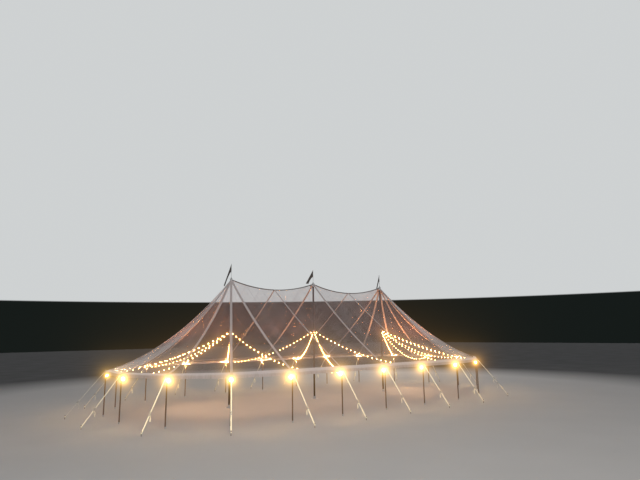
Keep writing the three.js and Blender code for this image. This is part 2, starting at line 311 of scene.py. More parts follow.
def addGlow(values):
    # what is brighter than the threshold spreads soft halos, as lit bulbs do in a lens
    scene = bpy.context.scene
    scene.view_settings.view_transform = values["viewTransform"]
    graph = Graph(scene)
    image = graph.node("CompositorNodeRLayers")
    for kind, size in values["glows"]:
        glow = {0: image, "Threshold": values["glowThreshold"], "Size": size, "Tint": values["glowTint"]}
        image = graph.node("CompositorNodeGlare", {"glare_type": kind, "quality": "HIGH"}, glow)
    graph.node("CompositorNodeComposite", None, {0: image})


addBackdrop(studio)
addSoftLights(studio)
addFloor(studio)
addGlow(studio)
print("camera, lights, floor and backdrop placed")

# Shells: points, lists of faces by their number of corners, and uv in metres

acrossAxes = [(1, 0, 0), (0, 0, 1), (0, 1, 0)]     # an outline drawn in X and Z and carried along Y
lyingAxes = [(0, 0, 1), (1, 0, 0), (0, 1, 0)]      # a turned shape whose axis lies along Y


def unit(vectors):
    # each vector at length 1
    return vectors / np.linalg.norm(vectors, axis=-1, keepdims=True)


def runAlong(points):
    # distance from the first point, added up from each point to the next
    return np.linalg.norm(np.diff(points, axis=0, prepend=points[:1]), axis=-1).cumsum(0)


def pairs(first, second):
    # u and v of every point, from two arrays that are spread over each other
    return np.stack(np.broadcast_arrays(first, second), -1)


def gridShell(points, uv, wrapRows=False, wrapColumns=False, capped=False):
    # a quad between each four neighbours; a wrap joins the last row or column to the first
    rows, columns = points.shape[:2]
    index = np.arange(rows * columns).reshape(rows, columns)
    net = np.hstack([index, index[:, :1]]) if wrapColumns else index
    net = np.vstack([net, net[:1]]) if wrapRows else net
    quads = np.stack([net[:-1, :-1], net[:-1, 1:], net[1:, 1:], net[1:, :-1]], -1).reshape(-1, 4)
    caps = [index[:1, ::-1], index[-1:]] if capped else []
    return points.reshape(-1, 3), [quads, *caps], uv.reshape(-1, 2)


def placed(shell, axes, origin=(0, 0, 0)):
    # each point is x, y and z along the three axes, from the origin
    points, faces, uv = shell
    return points @ np.asarray(axes, float) + np.asarray(origin, float), faces, uv


def moved(shell, origin):
    # a shell that keeps its own axes
    points, faces, uv = shell
    return points + np.asarray(origin, float), faces, uv


def withHeight(plan, z):
    # points from their places in plan and their heights
    return np.concatenate([plan, z[..., None]], -1)


def turnAxes(angle):
    # X, Y and Z turned about Z
    return np.array([[np.cos(angle), np.sin(angle), 0], [-np.sin(angle), np.cos(angle), 0], [0, 0, 1]])


def arc(radius, angle):
    # (r cos a, r sin a) for each angle
    return np.stack([radius * np.cos(angle), radius * np.sin(angle)], -1)


def circle(radius, sides):
    # once round, without the first point again
    return arc(radius, np.linspace(0, 2 * np.pi, sides, endpoint=False))


def turned(profile, sides, hollow=False):
    # point = (r cos a, r sin a, z) for each (r, z) of the profile, a going once round
    profile = np.asarray(profile, float)
    ring = circle(1.0, sides)
    r, z = profile[:, None, :1], profile[:, None, 1:]
    points = np.concatenate([r * ring, z + np.zeros((len(profile), sides, 1))], -1)
    uv = points[..., [0, 2]]
    return gridShell(points, uv, wrapRows=hollow, wrapColumns=True, capped=not hollow)


def roundBar(radius, low, high, cut, sides):
    # an upright bar with both edges cut
    profile = [(radius - cut, low), (radius, low + cut), (radius, high - cut), (radius - cut, high)]
    return turned(profile, sides)


def prism(outline, low, high, cut):
    # an outline carried up from low to high, drawn in by the cut at both ends
    middle = outline.mean(0)
    inset = middle + (outline - middle) * (1 - cut / np.abs(outline - middle).max())
    levels = [(inset, low), (outline, low + cut), (outline, high - cut), (inset, high)]
    rings = np.stack([np.column_stack([shape, np.full(len(shape), z)]) for shape, z in levels])
    return gridShell(rings, rings[..., [0, 2]], wrapColumns=True, capped=True)


def block(size, cut):
    # a box whose twelve edges are cut at 45 degrees
    x, y, z = np.array(size) / 2

    def ring(inset, height):
        a, b, c = x - inset, y - inset, cut * (1.0 if inset == 0 else 0.4)
        right = [(a - c, -b), (a, c - b), (a, b - c), (a - c, b)]
        left = [(c - a, b), (-a, b - c), (-a, c - b), (c - a, -b)]
        return [(p, q, height) for p, q in right + left]

    rings = np.array([ring(cut, -z), ring(0, cut - z), ring(0, z - cut), ring(cut, z)])
    return gridShell(rings, rings[..., [0, 2]], wrapColumns=True, capped=True)


def tube(path, radius, sides, hint=(0, 0, 1), closed=False):
    # a circle carried along the path, square to it; hint is any way that the path doesn't run
    path = np.asarray(path, float)
    ahead = np.roll(path, -1, 0) - np.roll(path, 1, 0) if closed else np.gradient(path, axis=0)
    tangent = unit(ahead)
    side = unit(np.cross(np.broadcast_to(hint, path.shape), tangent))
    normal = np.cross(tangent, side)
    ring = circle(1.0, sides)
    points = path[:, None] + radius * (side[:, None] * ring[:, :1] + normal[:, None] * ring[:, 1:])
    uv = pairs(ring[:, 0] * radius, runAlong(path)[:, None])
    return gridShell(points, uv, wrapRows=closed, wrapColumns=True, capped=not closed)


def ribbon(path, side, width, thickness):
    # a flat strap carried along the path: side is across it, and its two faces lie half a thickness off
    path = np.asarray(path, float)
    side = np.broadcast_to(side, path.shape)
    normal = np.cross(unit(np.gradient(path, axis=0)), side)
    across = np.array([-1, -0.96, 0, 0.96, 1, 0.96, 0, -0.96]) * width / 2
    out = np.array([0, -1, -1, -1, 0, 1, 1, 1]) * thickness / 2
    points = path[:, None] + side[:, None] * across[:, None] + normal[:, None] * out[:, None]
    return gridShell(points, pairs(across, runAlong(path)[:, None]), wrapColumns=True, capped=True)


def addPiece(name, shells, material, nodes, sharp=0.6, weld=0.0):
    # all shells in one mesh at the origin; faces that meet at more than sharp radians keep a crisp edge
    starts = np.cumsum([0] + [len(points) for points, _, _ in shells])
    faces = [part + start for (_, parts, _), start in zip(shells, starts) for part in parts]
    points = np.vstack([points for points, _, _ in shells])
    uv = np.vstack([uv for _, _, uv in shells])
    corners = np.concatenate([part.ravel() for part in faces])
    counts = np.concatenate([np.full(len(part), part.shape[1]) for part in faces])
    mesh = bpy.data.meshes.new(name)
    mesh.vertices.add(len(points))
    mesh.vertices.foreach_set("co", points.astype(np.float32).ravel())
    mesh.loops.add(len(corners))
    mesh.loops.foreach_set("vertex_index", corners.astype(np.int32))
    mesh.polygons.add(len(counts))
    mesh.polygons.foreach_set("loop_start", (np.cumsum(counts) - counts).astype(np.int32))
    mesh.update(calc_edges=True)
    layer = mesh.uv_layers.new(name="cloth")
    layer.uv.foreach_set("vector", uv[corners].astype(np.float32).ravel())
    mesh.polygons.foreach_set("use_smooth", np.ones(len(counts), bool))
    if weld:
        weldSeams(mesh, weld)
    mesh.set_sharp_from_angle(angle=sharp)
    mesh.materials.append(material)
    piece = addObject(name, mesh)
    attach(piece, "root")
    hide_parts(*nodes)
    return piece


def weldSeams(mesh, distance):
    # points of neighbouring grids that lie on the same spot become one; each keeps its own uv
    body = bmesh.new()
    body.from_mesh(mesh)
    bmesh.ops.remove_doubles(body, verts=body.verts, dist=distance)
    body.to_mesh(mesh)
    body.free()


# Roof form, from the frame's own places

def middleOf(node):
    # the middle of the box round a node of the frame
    low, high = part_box(node)
    return (low + high) / 2


timberRadius = 0.032
hubRise = 0.030
tent = {
    "spacing": middleOf("mast_right").x,
    "halfWidth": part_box("side_pole_back_3")[1].y - timberRadius,
    "eave": round(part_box("roof_front_left")[0].z, 3),
    "peak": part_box("webs_centre")[1].z - hubRise,
    "ridgeSag": 0.510,
    "mastSlack": 0.24,       # how hollow the section is at a mast, half-way between masts and at the ends
    "midSlack": 0.12,
    "endSlack": 0.66,
    "endGores": 7,
    "flangeHalf": 0.045,     # half the width of the belt that the side poles hold up
    "billow": 0.030,         # how far the film dips between two straps
}
spacing, halfWidth, eave = tent["spacing"], tent["halfWidth"], tent["eave"]
bay = spacing / 2
roofEdge = halfWidth + tent["flangeHalf"]
goreTurns = np.arange(tent["endGores"] + 1) * np.pi / tent["endGores"]
goreMitre = np.full(len(goreTurns), 1 / np.cos(np.pi / tent["endGores"] / 2))
goreMitre[[0, -1]] = 1.0
goreEdges = halfWidth + tent["flangeHalf"] * goreMitre
goreRays = np.stack([np.sin(goreTurns), -np.cos(goreTurns)], -1) * goreEdges[:, None]
goreBow = np.abs(np.sin(goreTurns)) ** (2 / 3)
goreSlack = tent["mastSlack"] + (tent["endSlack"] - tent["mastSlack"]) * goreBow
mastXs = {"left": -spacing, "centre": 0.0, "right": spacing}
bayStarts = {"left": -spacing, "right": 0.0}
endSides = {"left": -1.0, "right": 1.0}


def sectionHeight(ridge, slack, t):
    # a fall from the ridge (t = 0) to the eave (t = 1), hollowed by its slack
    return eave + (ridge - eave) * (1 - t) * (1 - slack * t)


def cross2(a, b):
    # the upright part of the cross product of two flat vectors
    return a[..., 0] * b[..., 1] - a[..., 1] * b[..., 0]


def roofHeight(x, y):
    # Over a bay the section follows the distance to the nearer mast. Past an end mast a point is a sum of
    # the two radials beside it; their shares add up to t, and the two radials' heights blend by share.
    x, y = np.broadcast_arrays(np.abs(x), y)
    nearer = np.abs(x - spacing * (x > bay))
    share = np.clip(nearer / bay, 0, 1)
    ridge = tent["peak"] - tent["ridgeSag"] * (1 - (1 - share) ** 2)
    slack = tent["mastSlack"] + (tent["midSlack"] - tent["mastSlack"]) * share
    t = np.abs(y) / roofEdge
    dip = tent["billow"] * np.sin(np.pi * np.clip(t, 0, 1))
    overBay = sectionHeight(ridge, slack, t) - dip * np.sin(np.pi * share) ** 2
    point = np.stack([np.maximum(x - spacing, 0), y], -1)
    gore = np.clip(np.arctan2(point[..., 0], -y) / goreTurns[1], 0, tent["endGores"] - 1).astype(int)
    first, second = goreRays[gore], goreRays[gore + 1]
    scale = cross2(first, second)
    second = cross2(first, point) / scale
    first = cross2(point, goreRays[gore + 1]) / scale
    t = first + second
    share = np.clip(second / np.maximum(t, 1e-6), 0, 1)
    dip = tent["billow"] * np.sin(np.pi * np.clip(t, 0, 1)) * 4 * share * (1 - share)
    before = sectionHeight(tent["peak"], goreSlack[gore], t)
    after = sectionHeight(tent["peak"], goreSlack[gore + 1], t)
    return np.where(x <= spacing, overBay, before + (after - before) * share - dip)


def straightPoles(facing, word):
    # five poles from left to right, each with its node, its place and the way outwards
    places = [np.array([(i - 2) * bay, facing * halfWidth]) for i in range(5)]
    return [(f"side_pole_{word}_{i + 1}", p, np.array([0.0, facing])) for i, p in enumerate(places)]


def endPoles(side, word):
    # a pole at each inner radial of a rounded end, from the front to the back
    rays = [np.array([side * np.sin(turn), -np.cos(turn)]) for turn in goreTurns[1:-1]]
    middle = np.array([side * spacing, 0.0])
    return [(f"side_pole_{word}_{j + 1}", middle + halfWidth * r, r) for j, r in enumerate(rays)]


frontPoles = straightPoles(-1.0, "front")
backPoles = straightPoles(1.0, "back")
leftPoles = endPoles(-1.0, "left")
rightPoles = endPoles(1.0, "right")
eaveSides = {
    "front": frontPoles,
    "right_end": rightPoles,
    "back": backPoles[::-1],
    "left_end": leftPoles[::-1],
}
eaveLoop = [pole for poles in eaveSides.values() for pole in poles]


def poleFrame(pole):
    # axes and origin of a side pole: X outwards, Y along the eave, Z up
    _, place, outward = pole
    return turnAxes(np.arctan2(outward[1], outward[0])), (*place, 0.0)


def addAtPoles(kinds, replaced):
    # the shells of each kind, set at every pole of a side, make one piece of that side
    for side, poles in eaveSides.items():
        for kind, shells, material, slotName, sharp in kinds:
            made = [placed(shell, *poleFrame(pole)) for pole in poles for shell in shells]
            addPiece(f"{kind}_{side}", made, material, replaced[side], sharp)


def addAtMasts(kinds, base=0.0):
    # the shells of each kind at each mast make one piece, which stands for that mast's own node
    for word, x in mastXs.items():
        for kind, shells, material, slotName, node in kinds:
            made = [moved(shell, (x, 0.0, base)) for shell in shells]
            addPiece(f"{kind}_{word}", made, material, [f"{node}_{word}"])


# Materials

def clearFilmMaterial():
    # hazy vinyl: dust clouds, a welded overlap every 1.016 m and long soft creases down the slope
    graph = newMaterial("clear_film")
    cloth = graph.place("UV")
    across, _, _ = graph.parts(cloth)
    pitch, overlap = 1.016, 0.026
    weld = abs((across + pitch / 2) % pitch - pitch / 2) < overlap / 2
    dust = graph.noise(graph.stretched(cloth, (1.0, 0.45, 1.0)), 1.6, 5.0, 0.62)
    crease = graph.noise(graph.stretched(cloth, (3.2, 0.55, 1.0)), 1.7, 3.0, 0.45)
    fine = graph.noise(cloth, 9.0, 2.0)
    haze = dust.ramp(0.35, 0.75)
    slant = graph.node("ShaderNodeLayerWeight", None, {"Blend": 0.5}, "Facing")
    thicker = 1 + 5.2 * slant.math("POWER", slant, 4.0)      # a shallow view goes through more of the haze
    # both tones carry a pink cast that is painted warm light from the bulbs inside; the dust haze itself
    # shows as the paler tone
    tone = graph.blend(haze, (0.195, 0.132, 0.150), (0.275, 0.192, 0.212))
    return graph.surface(
        Base_Color=graph.blend(weld * 0.5, tone, (0.30, 0.28, 0.29)),
        Roughness=0.006 + haze * 0.020,
        Alpha=(0.142 + haze * 0.095 + weld * 0.13) * thicker,
        IOR=2.6,      # above vinyl's own, because Alpha thins the gloss as well
        Normal=graph.bump(crease * 0.6 + fine * 0.01, 0.12, 0.02),
    )


def webbingMaterial(name, tone, soiled, halfStitch):
    # woven strap: a twill of 2 mm ribs, two rows of lock stitches near the edges and soiling that varies
    graph = newMaterial(name)
    cloth = graph.place("UV")
    across, along, _ = graph.parts(cloth)
    rib = (along * 3100.0 + abs(across % 0.016 - 0.008) * 3100.0).sine()
    row = abs(abs(across) - halfStitch) < 0.0011
    stitch = row * ((along % 0.007) < 0.0046)
    grime = graph.noise(graph.stretched(cloth, (6.0, 1.0, 1.0)), 2.4, 5.0, 0.6)
    wool = graph.noise(cloth, 420.0, 2.0)
    dull = graph.blend(grime.ramp(0.35, 0.8) * 0.75, tone, soiled)
    worn = graph.blend(wool.ramp(0.35, 0.75) * 0.25, dull, tuple(0.6 * value for value in tone))
    return graph.surface(
        Base_Color=graph.blend(stitch, worn, tuple(min(1.0, 1.25 * value) for value in tone)),
        Roughness=0.74 + grime * 0.16,
        Sheen_Weight=0.15,
        Normal=graph.bump(rib * 0.5 + wool * 0.4 + stitch * 1.2, 0.5, 0.0012),
    )


def eaveVinylMaterial():
    # coated cloth: a scrim of 1.2 mm threads under the coat, a welded hem line and streaks of run-off
    graph = newMaterial("eave_vinyl")
    cloth = graph.place("UV")
    across, along, _ = graph.parts(cloth)
    scrim = (across * 5200.0).sine() * 0.5 + (along * 5200.0).sine() * 0.5
    hem = abs(across - 0.365) < 0.0016
    streak = graph.noise(graph.stretched(cloth, (0.9, 7.0, 1.0)), 1.9, 5.0, 0.6)
    wave = graph.noise(graph.stretched(cloth, (1.2, 1.0, 1.0)), 1.3, 3.0)
    low = across.ramp(0.16, 0.40)
    soil = streak.ramp(0.42, 0.82) * (0.25 + low * 0.55)
    clean = graph.blend(wave.ramp(0.3, 0.8) * 0.35, (0.69, 0.61, 0.60), (0.58, 0.515, 0.505))
    dull = graph.blend(soil, clean, (0.42, 0.38, 0.33))
    return graph.surface(
        Base_Color=graph.blend(hem * 0.6, dull, (0.50, 0.49, 0.48)),
        Roughness=0.36 + soil * 0.25,
        Normal=graph.bump(scrim * 0.05 + wave * 2.0 + hem * -0.4, 0.45, 0.004),
    )


timberTones = {       # pale and dark grain, and where it is rubbed
    "pole": ((0.22, 0.135, 0.080), (0.11, 0.064, 0.038), (0.34, 0.24, 0.16)),
    "mast": ((0.040, 0.018, 0.013), (0.016, 0.008, 0.006), (0.09, 0.050, 0.034)),
}


def timberMaterial(name, tones, rough):
    # round timber stood on end: grain drawn out along Z over broader tones, dark checks and rubbed places
    graph = newMaterial(name)
    pale, dark, worn = tones
    place = graph.place()
    grain = graph.noise(graph.stretched(place, (1.0, 1.0, 0.045)), 95.0, 5.0, 0.65)
    broad = graph.noise(graph.stretched(place, (1.0, 1.0, 0.09)), 16.0, 3.0)
    check = graph.noise(graph.stretched(place, (1.0, 1.0, 0.02)), 60.0, 2.0) > 0.70
    rub = graph.noise(place, 3.1, 4.0, 0.6).ramp(0.56, 0.72)
    tone = graph.blend(grain.ramp(0.3, 0.72) * 0.6 + broad.ramp(0.35, 0.7) * 0.4, pale, dark)
    rubbed = graph.blend(rub * 0.45, tone, worn)
    return graph.surface(
        Base_Color=graph.blend(check * 0.7, rubbed, (0.03, 0.02, 0.015)),
        Roughness=rough + rub * 0.22 + grain * 0.1,
        Coat_Weight=0.25 * (1 - rub),
        Coat_Roughness=0.25,
        Normal=graph.bump(grain - check * 1.5, 0.4, 0.0015),
    )


def galvanisedMaterial(name, shade):
    # zinc spangle in small cells, dull white bloom and scuffs down to bright metal
    graph = newMaterial(name)
    place = graph.place()
    spangle = graph.cells(place, 75.0)
    bloom = graph.noise(place, 7.0, 5.0, 0.62).ramp(0.42, 0.75)
    scuff = graph.noise(graph.stretched(place, (1.0, 1.0, 3.5)), 55.0, 4.0, 0.7).ramp(0.60, 0.70)
    # shade scales every tone at once; a shade below 1 is painted shade
    tones = np.array([(0.46, 0.47, 0.48), (0.62, 0.63, 0.65), (0.55, 0.55, 0.54), (0.75, 0.75, 0.76)]) * shade
    dark, pale, chalk, bare = [tuple(tone) for tone in tones]
    chalked = graph.blend(bloom * 0.6, graph.blend(spangle, dark, pale), chalk)
    return graph.surface(
        Base_Color=graph.blend(scuff * 0.5, chalked, bare),
        Metallic=0.95 - bloom * 0.5,
        Roughness=0.36 + spangle * 0.16 + bloom * 0.22 - scuff * 0.12,
        Normal=graph.bump(spangle * 0.3 + bloom, 0.25, 0.0008),
    )


def ratchetMaterial():
    # yellow-passivated steel: a faint straw cast and oily darker patches
    graph = newMaterial("ratchet_steel")
    place = graph.place()
    cast = graph.noise(place, 26.0, 4.0, 0.6)
    oil = graph.noise(place, 90.0, 3.0).ramp(0.50, 0.72)
    tone = graph.blend(cast.ramp(0.3, 0.7), (0.58, 0.55, 0.47), (0.50, 0.50, 0.52))
    return graph.surface(
        Base_Color=graph.blend(oil * 0.6, tone, (0.11, 0.10, 0.09)),
        Metallic=0.9 - oil * 0.3,
        Roughness=0.30 + oil * 0.28,
        Normal=graph.bump(cast, 0.2, 0.0006),
    )


def forgedMaterial():
    # forged stake steel: brown scale, patches of rust, bright on top where a hammer has struck
    graph = newMaterial("forged_steel")
    place = graph.place()
    scale = graph.noise(place, 120.0, 4.0, 0.65)
    rust = graph.noise(place, 34.0, 5.0, 0.6).ramp(0.45, 0.66)
    struck = graph.parts(place)[2].ramp(0.206, 0.211)
    tone = graph.blend(rust, (0.13, 0.12, 0.115), (0.24, 0.105, 0.045))
    return graph.surface(
        Base_Color=graph.blend(struck * 0.8, tone, (0.55, 0.54, 0.52)),
        Metallic=0.85 - rust * 0.7,
        Roughness=0.50 + rust * 0.35 - struck * 0.2,
        Normal=graph.bump(scale + rust, 0.5, 0.0012),
    )


def darkSteelMaterial():
    # steel painted brown-black: brush marks round it and chips down to primer
    graph = newMaterial("dark_steel")
    place = graph.place()
    brush = graph.noise(graph.stretched(place, (1.0, 1.0, 14.0)), 9.0, 4.0, 0.6)
    chip = graph.noise(place, 70.0, 4.0, 0.7).ramp(0.66, 0.70)
    tone = graph.blend(brush.ramp(0.35, 0.7), (0.030, 0.020, 0.017), (0.050, 0.036, 0.030))
    return graph.surface(
        Base_Color=graph.blend(chip * 0.6, tone, (0.17, 0.13, 0.11)),
        Metallic=0.1 + chip * 0.5,
        Roughness=0.42 + brush * 0.2,
        Normal=graph.bump(brush * 0.5 - chip, 0.3, 0.0008),
    )


def pennantMaterial():
    # light woven cloth: fine plain weave, slubs and sun-faded bands
    graph = newMaterial("pennant_cloth")
    cloth = graph.place("UV")
    across, along, _ = graph.parts(cloth)
    weave = (across * 7400.0).sine() * (along * 7400.0).sine()
    fade = graph.noise(graph.stretched(cloth, (2.0, 5.0, 1.0)), 2.6, 4.0, 0.6)
    slub = graph.noise(graph.stretched(cloth, (60.0, 900.0, 1.0)), 1.0, 2.0)
    tone = graph.blend(fade.ramp(0.35, 0.75), (0.045, 0.044, 0.046), (0.105, 0.102, 0.104))
    return graph.surface(
        Base_Color=graph.blend(slub.ramp(0.4, 0.7) * 0.3, tone, (0.15, 0.15, 0.15)),
        Roughness=0.82 + fade * 0.1,
        Sheen_Weight=0.25,
        Normal=graph.bump(weave * 0.4 + slub, 0.35, 0.0007),
    )


def rubberMaterial():
    # outdoor flex and bulb holders: matt black with a grey bloom
    graph = newMaterial("flex_rubber")
    place = graph.place()
    bloom = graph.noise(place, 18.0, 4.0, 0.6)
    tone = graph.blend(bloom.ramp(0.4, 0.8), (0.020, 0.019, 0.018), (0.055, 0.052, 0.050))
    return graph.surface(Base_Color=tone, Roughness=0.55 + bloom * 0.3, Normal=graph.bump(bloom, 0.2, 0.0005))


def glowMaterial(name, cool, warm, strength, sampled):
    # lit glass: an even glow, mottled between a paler and a warmer tone
    graph = newMaterial(name)
    place = graph.place()
    mottle = graph.noise(place, 14.0, 3.0)
    tone = graph.blend(mottle.ramp(0.3, 0.7), cool, warm)
    material = graph.surface(
        Base_Color=graph.blend(mottle, (0.85, 0.80, 0.70), (0.95, 0.90, 0.80)),
        Roughness=0.12 + mottle * 0.08,
        Emission_Color=tone,
        Emission_Strength=strength,
        Coat_Weight=0.4,
    )
    material.cycles.emission_sampling = "AUTO" if sampled else "NONE"
    return material


def lampBodyMaterial():
    # cast housing: stoved cream enamel with orange peel and a film of soot
    graph = newMaterial("lamp_enamel")
    place = graph.place()
    peel = graph.noise(place, 260.0, 2.0)
    soot = graph.noise(place, 22.0, 4.0, 0.6).ramp(0.45, 0.75)
    return graph.surface(
        Base_Color=graph.blend(soot * 0.6, (0.56, 0.52, 0.44), (0.22, 0.19, 0.15)),
        Roughness=0.32 + soot * 0.3,
        Coat_Weight=0.3,
        Normal=graph.bump(peel, 0.15, 0.0005),
    )


clearFilm = clearFilmMaterial()
roofWebbing = webbingMaterial("roof_webbing", (0.56, 0.50, 0.49), (0.37, 0.33, 0.32), 0.041)
guyWebbing = webbingMaterial("guy_webbing", (0.86, 0.80, 0.64), (0.58, 0.51, 0.39), 0.020)
pipingCloth = webbingMaterial("ridge_piping", (0.15, 0.14, 0.142), (0.21, 0.20, 0.195), 0.020)
eaveVinyl = eaveVinylMaterial()
poleWood = timberMaterial("pole_timber", timberTones["pole"], 0.42)
mastWood = timberMaterial("mast_timber", timberTones["mast"], 0.46)
galvanised = galvanisedMaterial("galvanised", 1.0)
# the galvanised finish at 0.42 of its tone: painted shade, so the crowns and staffs read dark against the
# bright backdrop
shadedZinc = galvanisedMaterial("zinc_painted_shade", 0.42)
ratchetSteel = ratchetMaterial()
forgedSteel = forgedMaterial()
darkSteel = darkSteelMaterial()
pennantCloth = pennantMaterial()
flexRubber = rubberMaterial()
bulbGlass = glowMaterial("bulb_glass", (1.0, 0.52, 0.15), (1.0, 0.42, 0.10), 40.0, False)
lampGlass = glowMaterial("lamp_glass", (1.0, 0.72, 0.36), (1.0, 0.62, 0.27), 900.0, True)
lampEnamel = lampBodyMaterial()
print("materials made")

# Festoon strings: a flex in the curve that the frame's string has, with a bulb every 305 mm

festoon = {
    "hubHeight": 4.350,
    "footHeight": 2.235,
    "flexRadius": 0.004,
    "ringRadius": 0.072,
    "ringHeight": 0.056,
    "ringLip": 0.004,
    "ringFit": 0.0005,         # between the mast and the ring
    "eyeRadius": 0.011,
    "eyeWire": 0.0025,
    "eyeOut": 0.006,
    "startInside": 0.010,      # how far the flex starts inside the ring
    "poleInside": 0.034,       # how far it ends short of the pole's axis
    "pathPoints": 41,
    "bulbPitch": 0.305,
    "firstBulb": 0.160,
    "lastBulb": 0.230,         # how far short of the pole the bulbs stop, clear of its lamp
    "bulbSides": 8,            # both profiles are radius and height from the flex
    "holder": [(0.0160, -0.036), (0.0160, -0.026), (0.0130, -0.022), (0.0125, 0.000), (0.006, 0.004)],
    "glass": [(0.0075, -0.0915), (0.0190, -0.082), (0.0225, -0.066), (0.0185, -0.050), (0.011, -0.036)],
    "runs": {                  # the pole that each string goes to, and its sag
        "left": [(frontPoles[1], 0.72), (backPoles[1], 0.49), (leftPoles[0], 0.49), (leftPoles[2], 0.60),
                 (leftPoles[3], 0.40), (leftPoles[4], 0.40), (leftPoles[5], 0.45)],
        "centre": [(frontPoles[1], 0.49), (frontPoles[3], 0.49), (backPoles[1], 0.49), (backPoles[3], 0.49)],
        "right": [(frontPoles[4], 0.50), (rightPoles[0], 0.20), (rightPoles[1], 0.35), (rightPoles[2], 0.60),
                  (rightPoles[3], 0.88), (rightPoles[4], 0.13)],
    },
}


def stringPath(mastX, pole, sag, values):
    # a quadratic curve whose middle point is pulled two sags below the chord
    start = np.array([mastX, 0.0, values["hubHeight"]])
    end = np.array([*pole[1], values["footHeight"]])
    run = unit((end - start) * (1, 1, 0))
    start = start + run * (values["ringRadius"] - values["startInside"])
    end = end - run * values["poleInside"]
    pull = (start + end) / 2 - (0, 0, 2 * sag)
    t = np.linspace(0, 1, values["pathPoints"])[:, None]
    return (1 - t) ** 2 * start + 2 * t * (1 - t) * pull + t ** 2 * end


def bulbPlaces(path, values):
    # points at an even pitch along the path's own length
    run = runAlong(path)
    stops = np.arange(values["firstBulb"], run[-1] - values["lastBulb"], values["bulbPitch"])
    return np.stack([np.interp(stops, run, path[:, axis]) for axis in range(3)], -1)


def addString(name, node, path, values):
    # the flex is one piece and its bulbs another, whose faces are all the glass and then all the holders
    flex = addPiece(name, [tube(path, values["flexRadius"], 8)], flexRubber, [node])
    glass, holder = [turned(values[part], values["bulbSides"]) for part in ("glass", "holder")]
    places = bulbPlaces(path, values)
    shells = [moved(shell, place) for shell in (glass, holder) for place in places]
    bulbs = addPiece(f"{name}_bulbs", shells, bulbGlass, [node], sharp=0.9)
    bulbs.data.materials.append(flexRubber)
    glassFaces = len(places) * sum(len(faces) for faces in glass[1])
    which = np.zeros(len(bulbs.data.polygons), np.int32)
    which[glassFaces:] = 1
    bulbs.data.polygons.foreach_set("material_index", which)
    round(float(runAlong(path)[-1]), 3)
    2 * values["flexRadius"]


def addStringLight(path, values):
    # a disk that faces up and one that faces down, neither of them seen
    for turn, power, colour in values["stringLights"]:
        own = {"shape": "DISK", "size": values["stringSpread"]}
        lamp = addLight("string_light", "AREA", (turn, 0.0, 0.0), power, colour, own)
        lamp.location = path[int(values["stringShare"] * len(path))]
        lamp.visible_camera = False
        lamp.visible_glossy = False


def ringShell(word, values):
    # a band round the mast with its outer edges cut
    half, outer, lip = values["ringHeight"] / 2, values["ringRadius"], values["ringLip"]
    bore = (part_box(f"mast_{word}")[1] - middleOf(f"mast_{word}")).x + values["ringFit"]
    band = [(outer, lip - half), (outer, half - lip), (outer - lip, half), (bore, half),
            (bore, -half), (outer - lip, -half)]
    return moved(turned(band, 32, hollow=True), (mastXs[word], 0.0, values["hubHeight"]))


def ringHook(mastX, pole, values):
    # an eye of wire at the ring's rim, in the upright plane of the string that it holds
    run = pole[1] - (mastX, 0.0)
    eye = np.insert(circle(values["eyeRadius"], 14), 1, 0.0, axis=1)
    eye = eye + (values["ringRadius"] + values["eyeOut"], 0.0, 0.0)
    wire = tube(eye, values["eyeWire"], 6, hint=(0, 1, 0), closed=True)
    return placed(wire, turnAxes(np.arctan2(run[1], run[0])), (mastX, 0.0, values["hubHeight"]))


def addStrings(values):
    for word, runs in values["runs"].items():
        mastX, node = mastXs[word], f"string_lights_{word}"
        hooks = [ringHook(mastX, pole, values) for pole, _ in runs]
        addPiece(f"string_ring_{word}", [ringShell(word, values), *hooks], galvanised, [node])
        for number, (pole, sag) in enumerate(runs, 1):
            path = stringPath(mastX, pole, sag, values)
            addString(f"string_{word}_{number}", node, path, values)
            addStringLight(path, studio)


addStrings(festoon)
print("strings hung")

# Film roof: six sheets of clear vinyl between the straps

film = {
    "lift": 0.006,         # above the section that the frame's film rests on
    "hubHole": 0.108,
    "endHole": 0.080,
    "bayColumns": 73,
    "goreColumns": 15,
    "rows": 81,
    "seam": 0.0004,
}


def areaOf(points):
    # half the cross product of the diagonals of each quad
    first = points[1:, 1:] - points[:-1, :-1]
    second = points[1:, :-1] - points[:-1, 1:]
    return float(np.linalg.norm(np.cross(first, second), axis=-1).sum() / 2)


def baySheet(fromX, facing, values):
    # x runs from mast to mast, y from the ridge to the eave edge, z is the roof's height; turned round
    # where its faces would point down
    along = np.linspace(values["seam"], spacing - values["seam"], values["bayColumns"])
    start = np.maximum(values["seam"], values["hubHole"] - np.minimum(along, spacing - along))
    share = np.linspace(0, 1, values["rows"])[:, None]
    y = facing * (start + (roofEdge - start) * share)
    x = fromX + along + 0 * y
    points = np.stack([x, y, roofHeight(x, y) + values["lift"]], -1)
    uv = np.stack([along + 0 * y, runAlong(points)], -1)
    turn = int(facing)
    return points[:, ::turn], uv[:, ::turn]


def goreSheet(mastX, side, gore, values):
    # a fan between two radials: across it the share goes from one to the other, down it t grows to 1
    share = np.linspace(0, 1, values["goreColumns"])
    ray = goreRays[gore] + (goreRays[gore + 1] - goreRays[gore]) * share[:, None]
    start = values["endHole"] / np.linalg.norm(ray, axis=-1)
    t = start + (1 - start) * np.linspace(0, 1, values["rows"])[:, None]
    x, y = spacing + t * ray[:, 0], t * ray[:, 1]
    points = np.stack([mastX + side * (x - spacing), y, roofHeight(x, y) + values["lift"]], -1)
    width = np.linalg.norm(goreRays[gore + 1] - goreRays[gore])
    uv = np.stack([(share - 0.5) * width * t, runAlong(points)], -1)
    turn = -int(side)
    return points[:, ::turn], uv[:, ::turn]


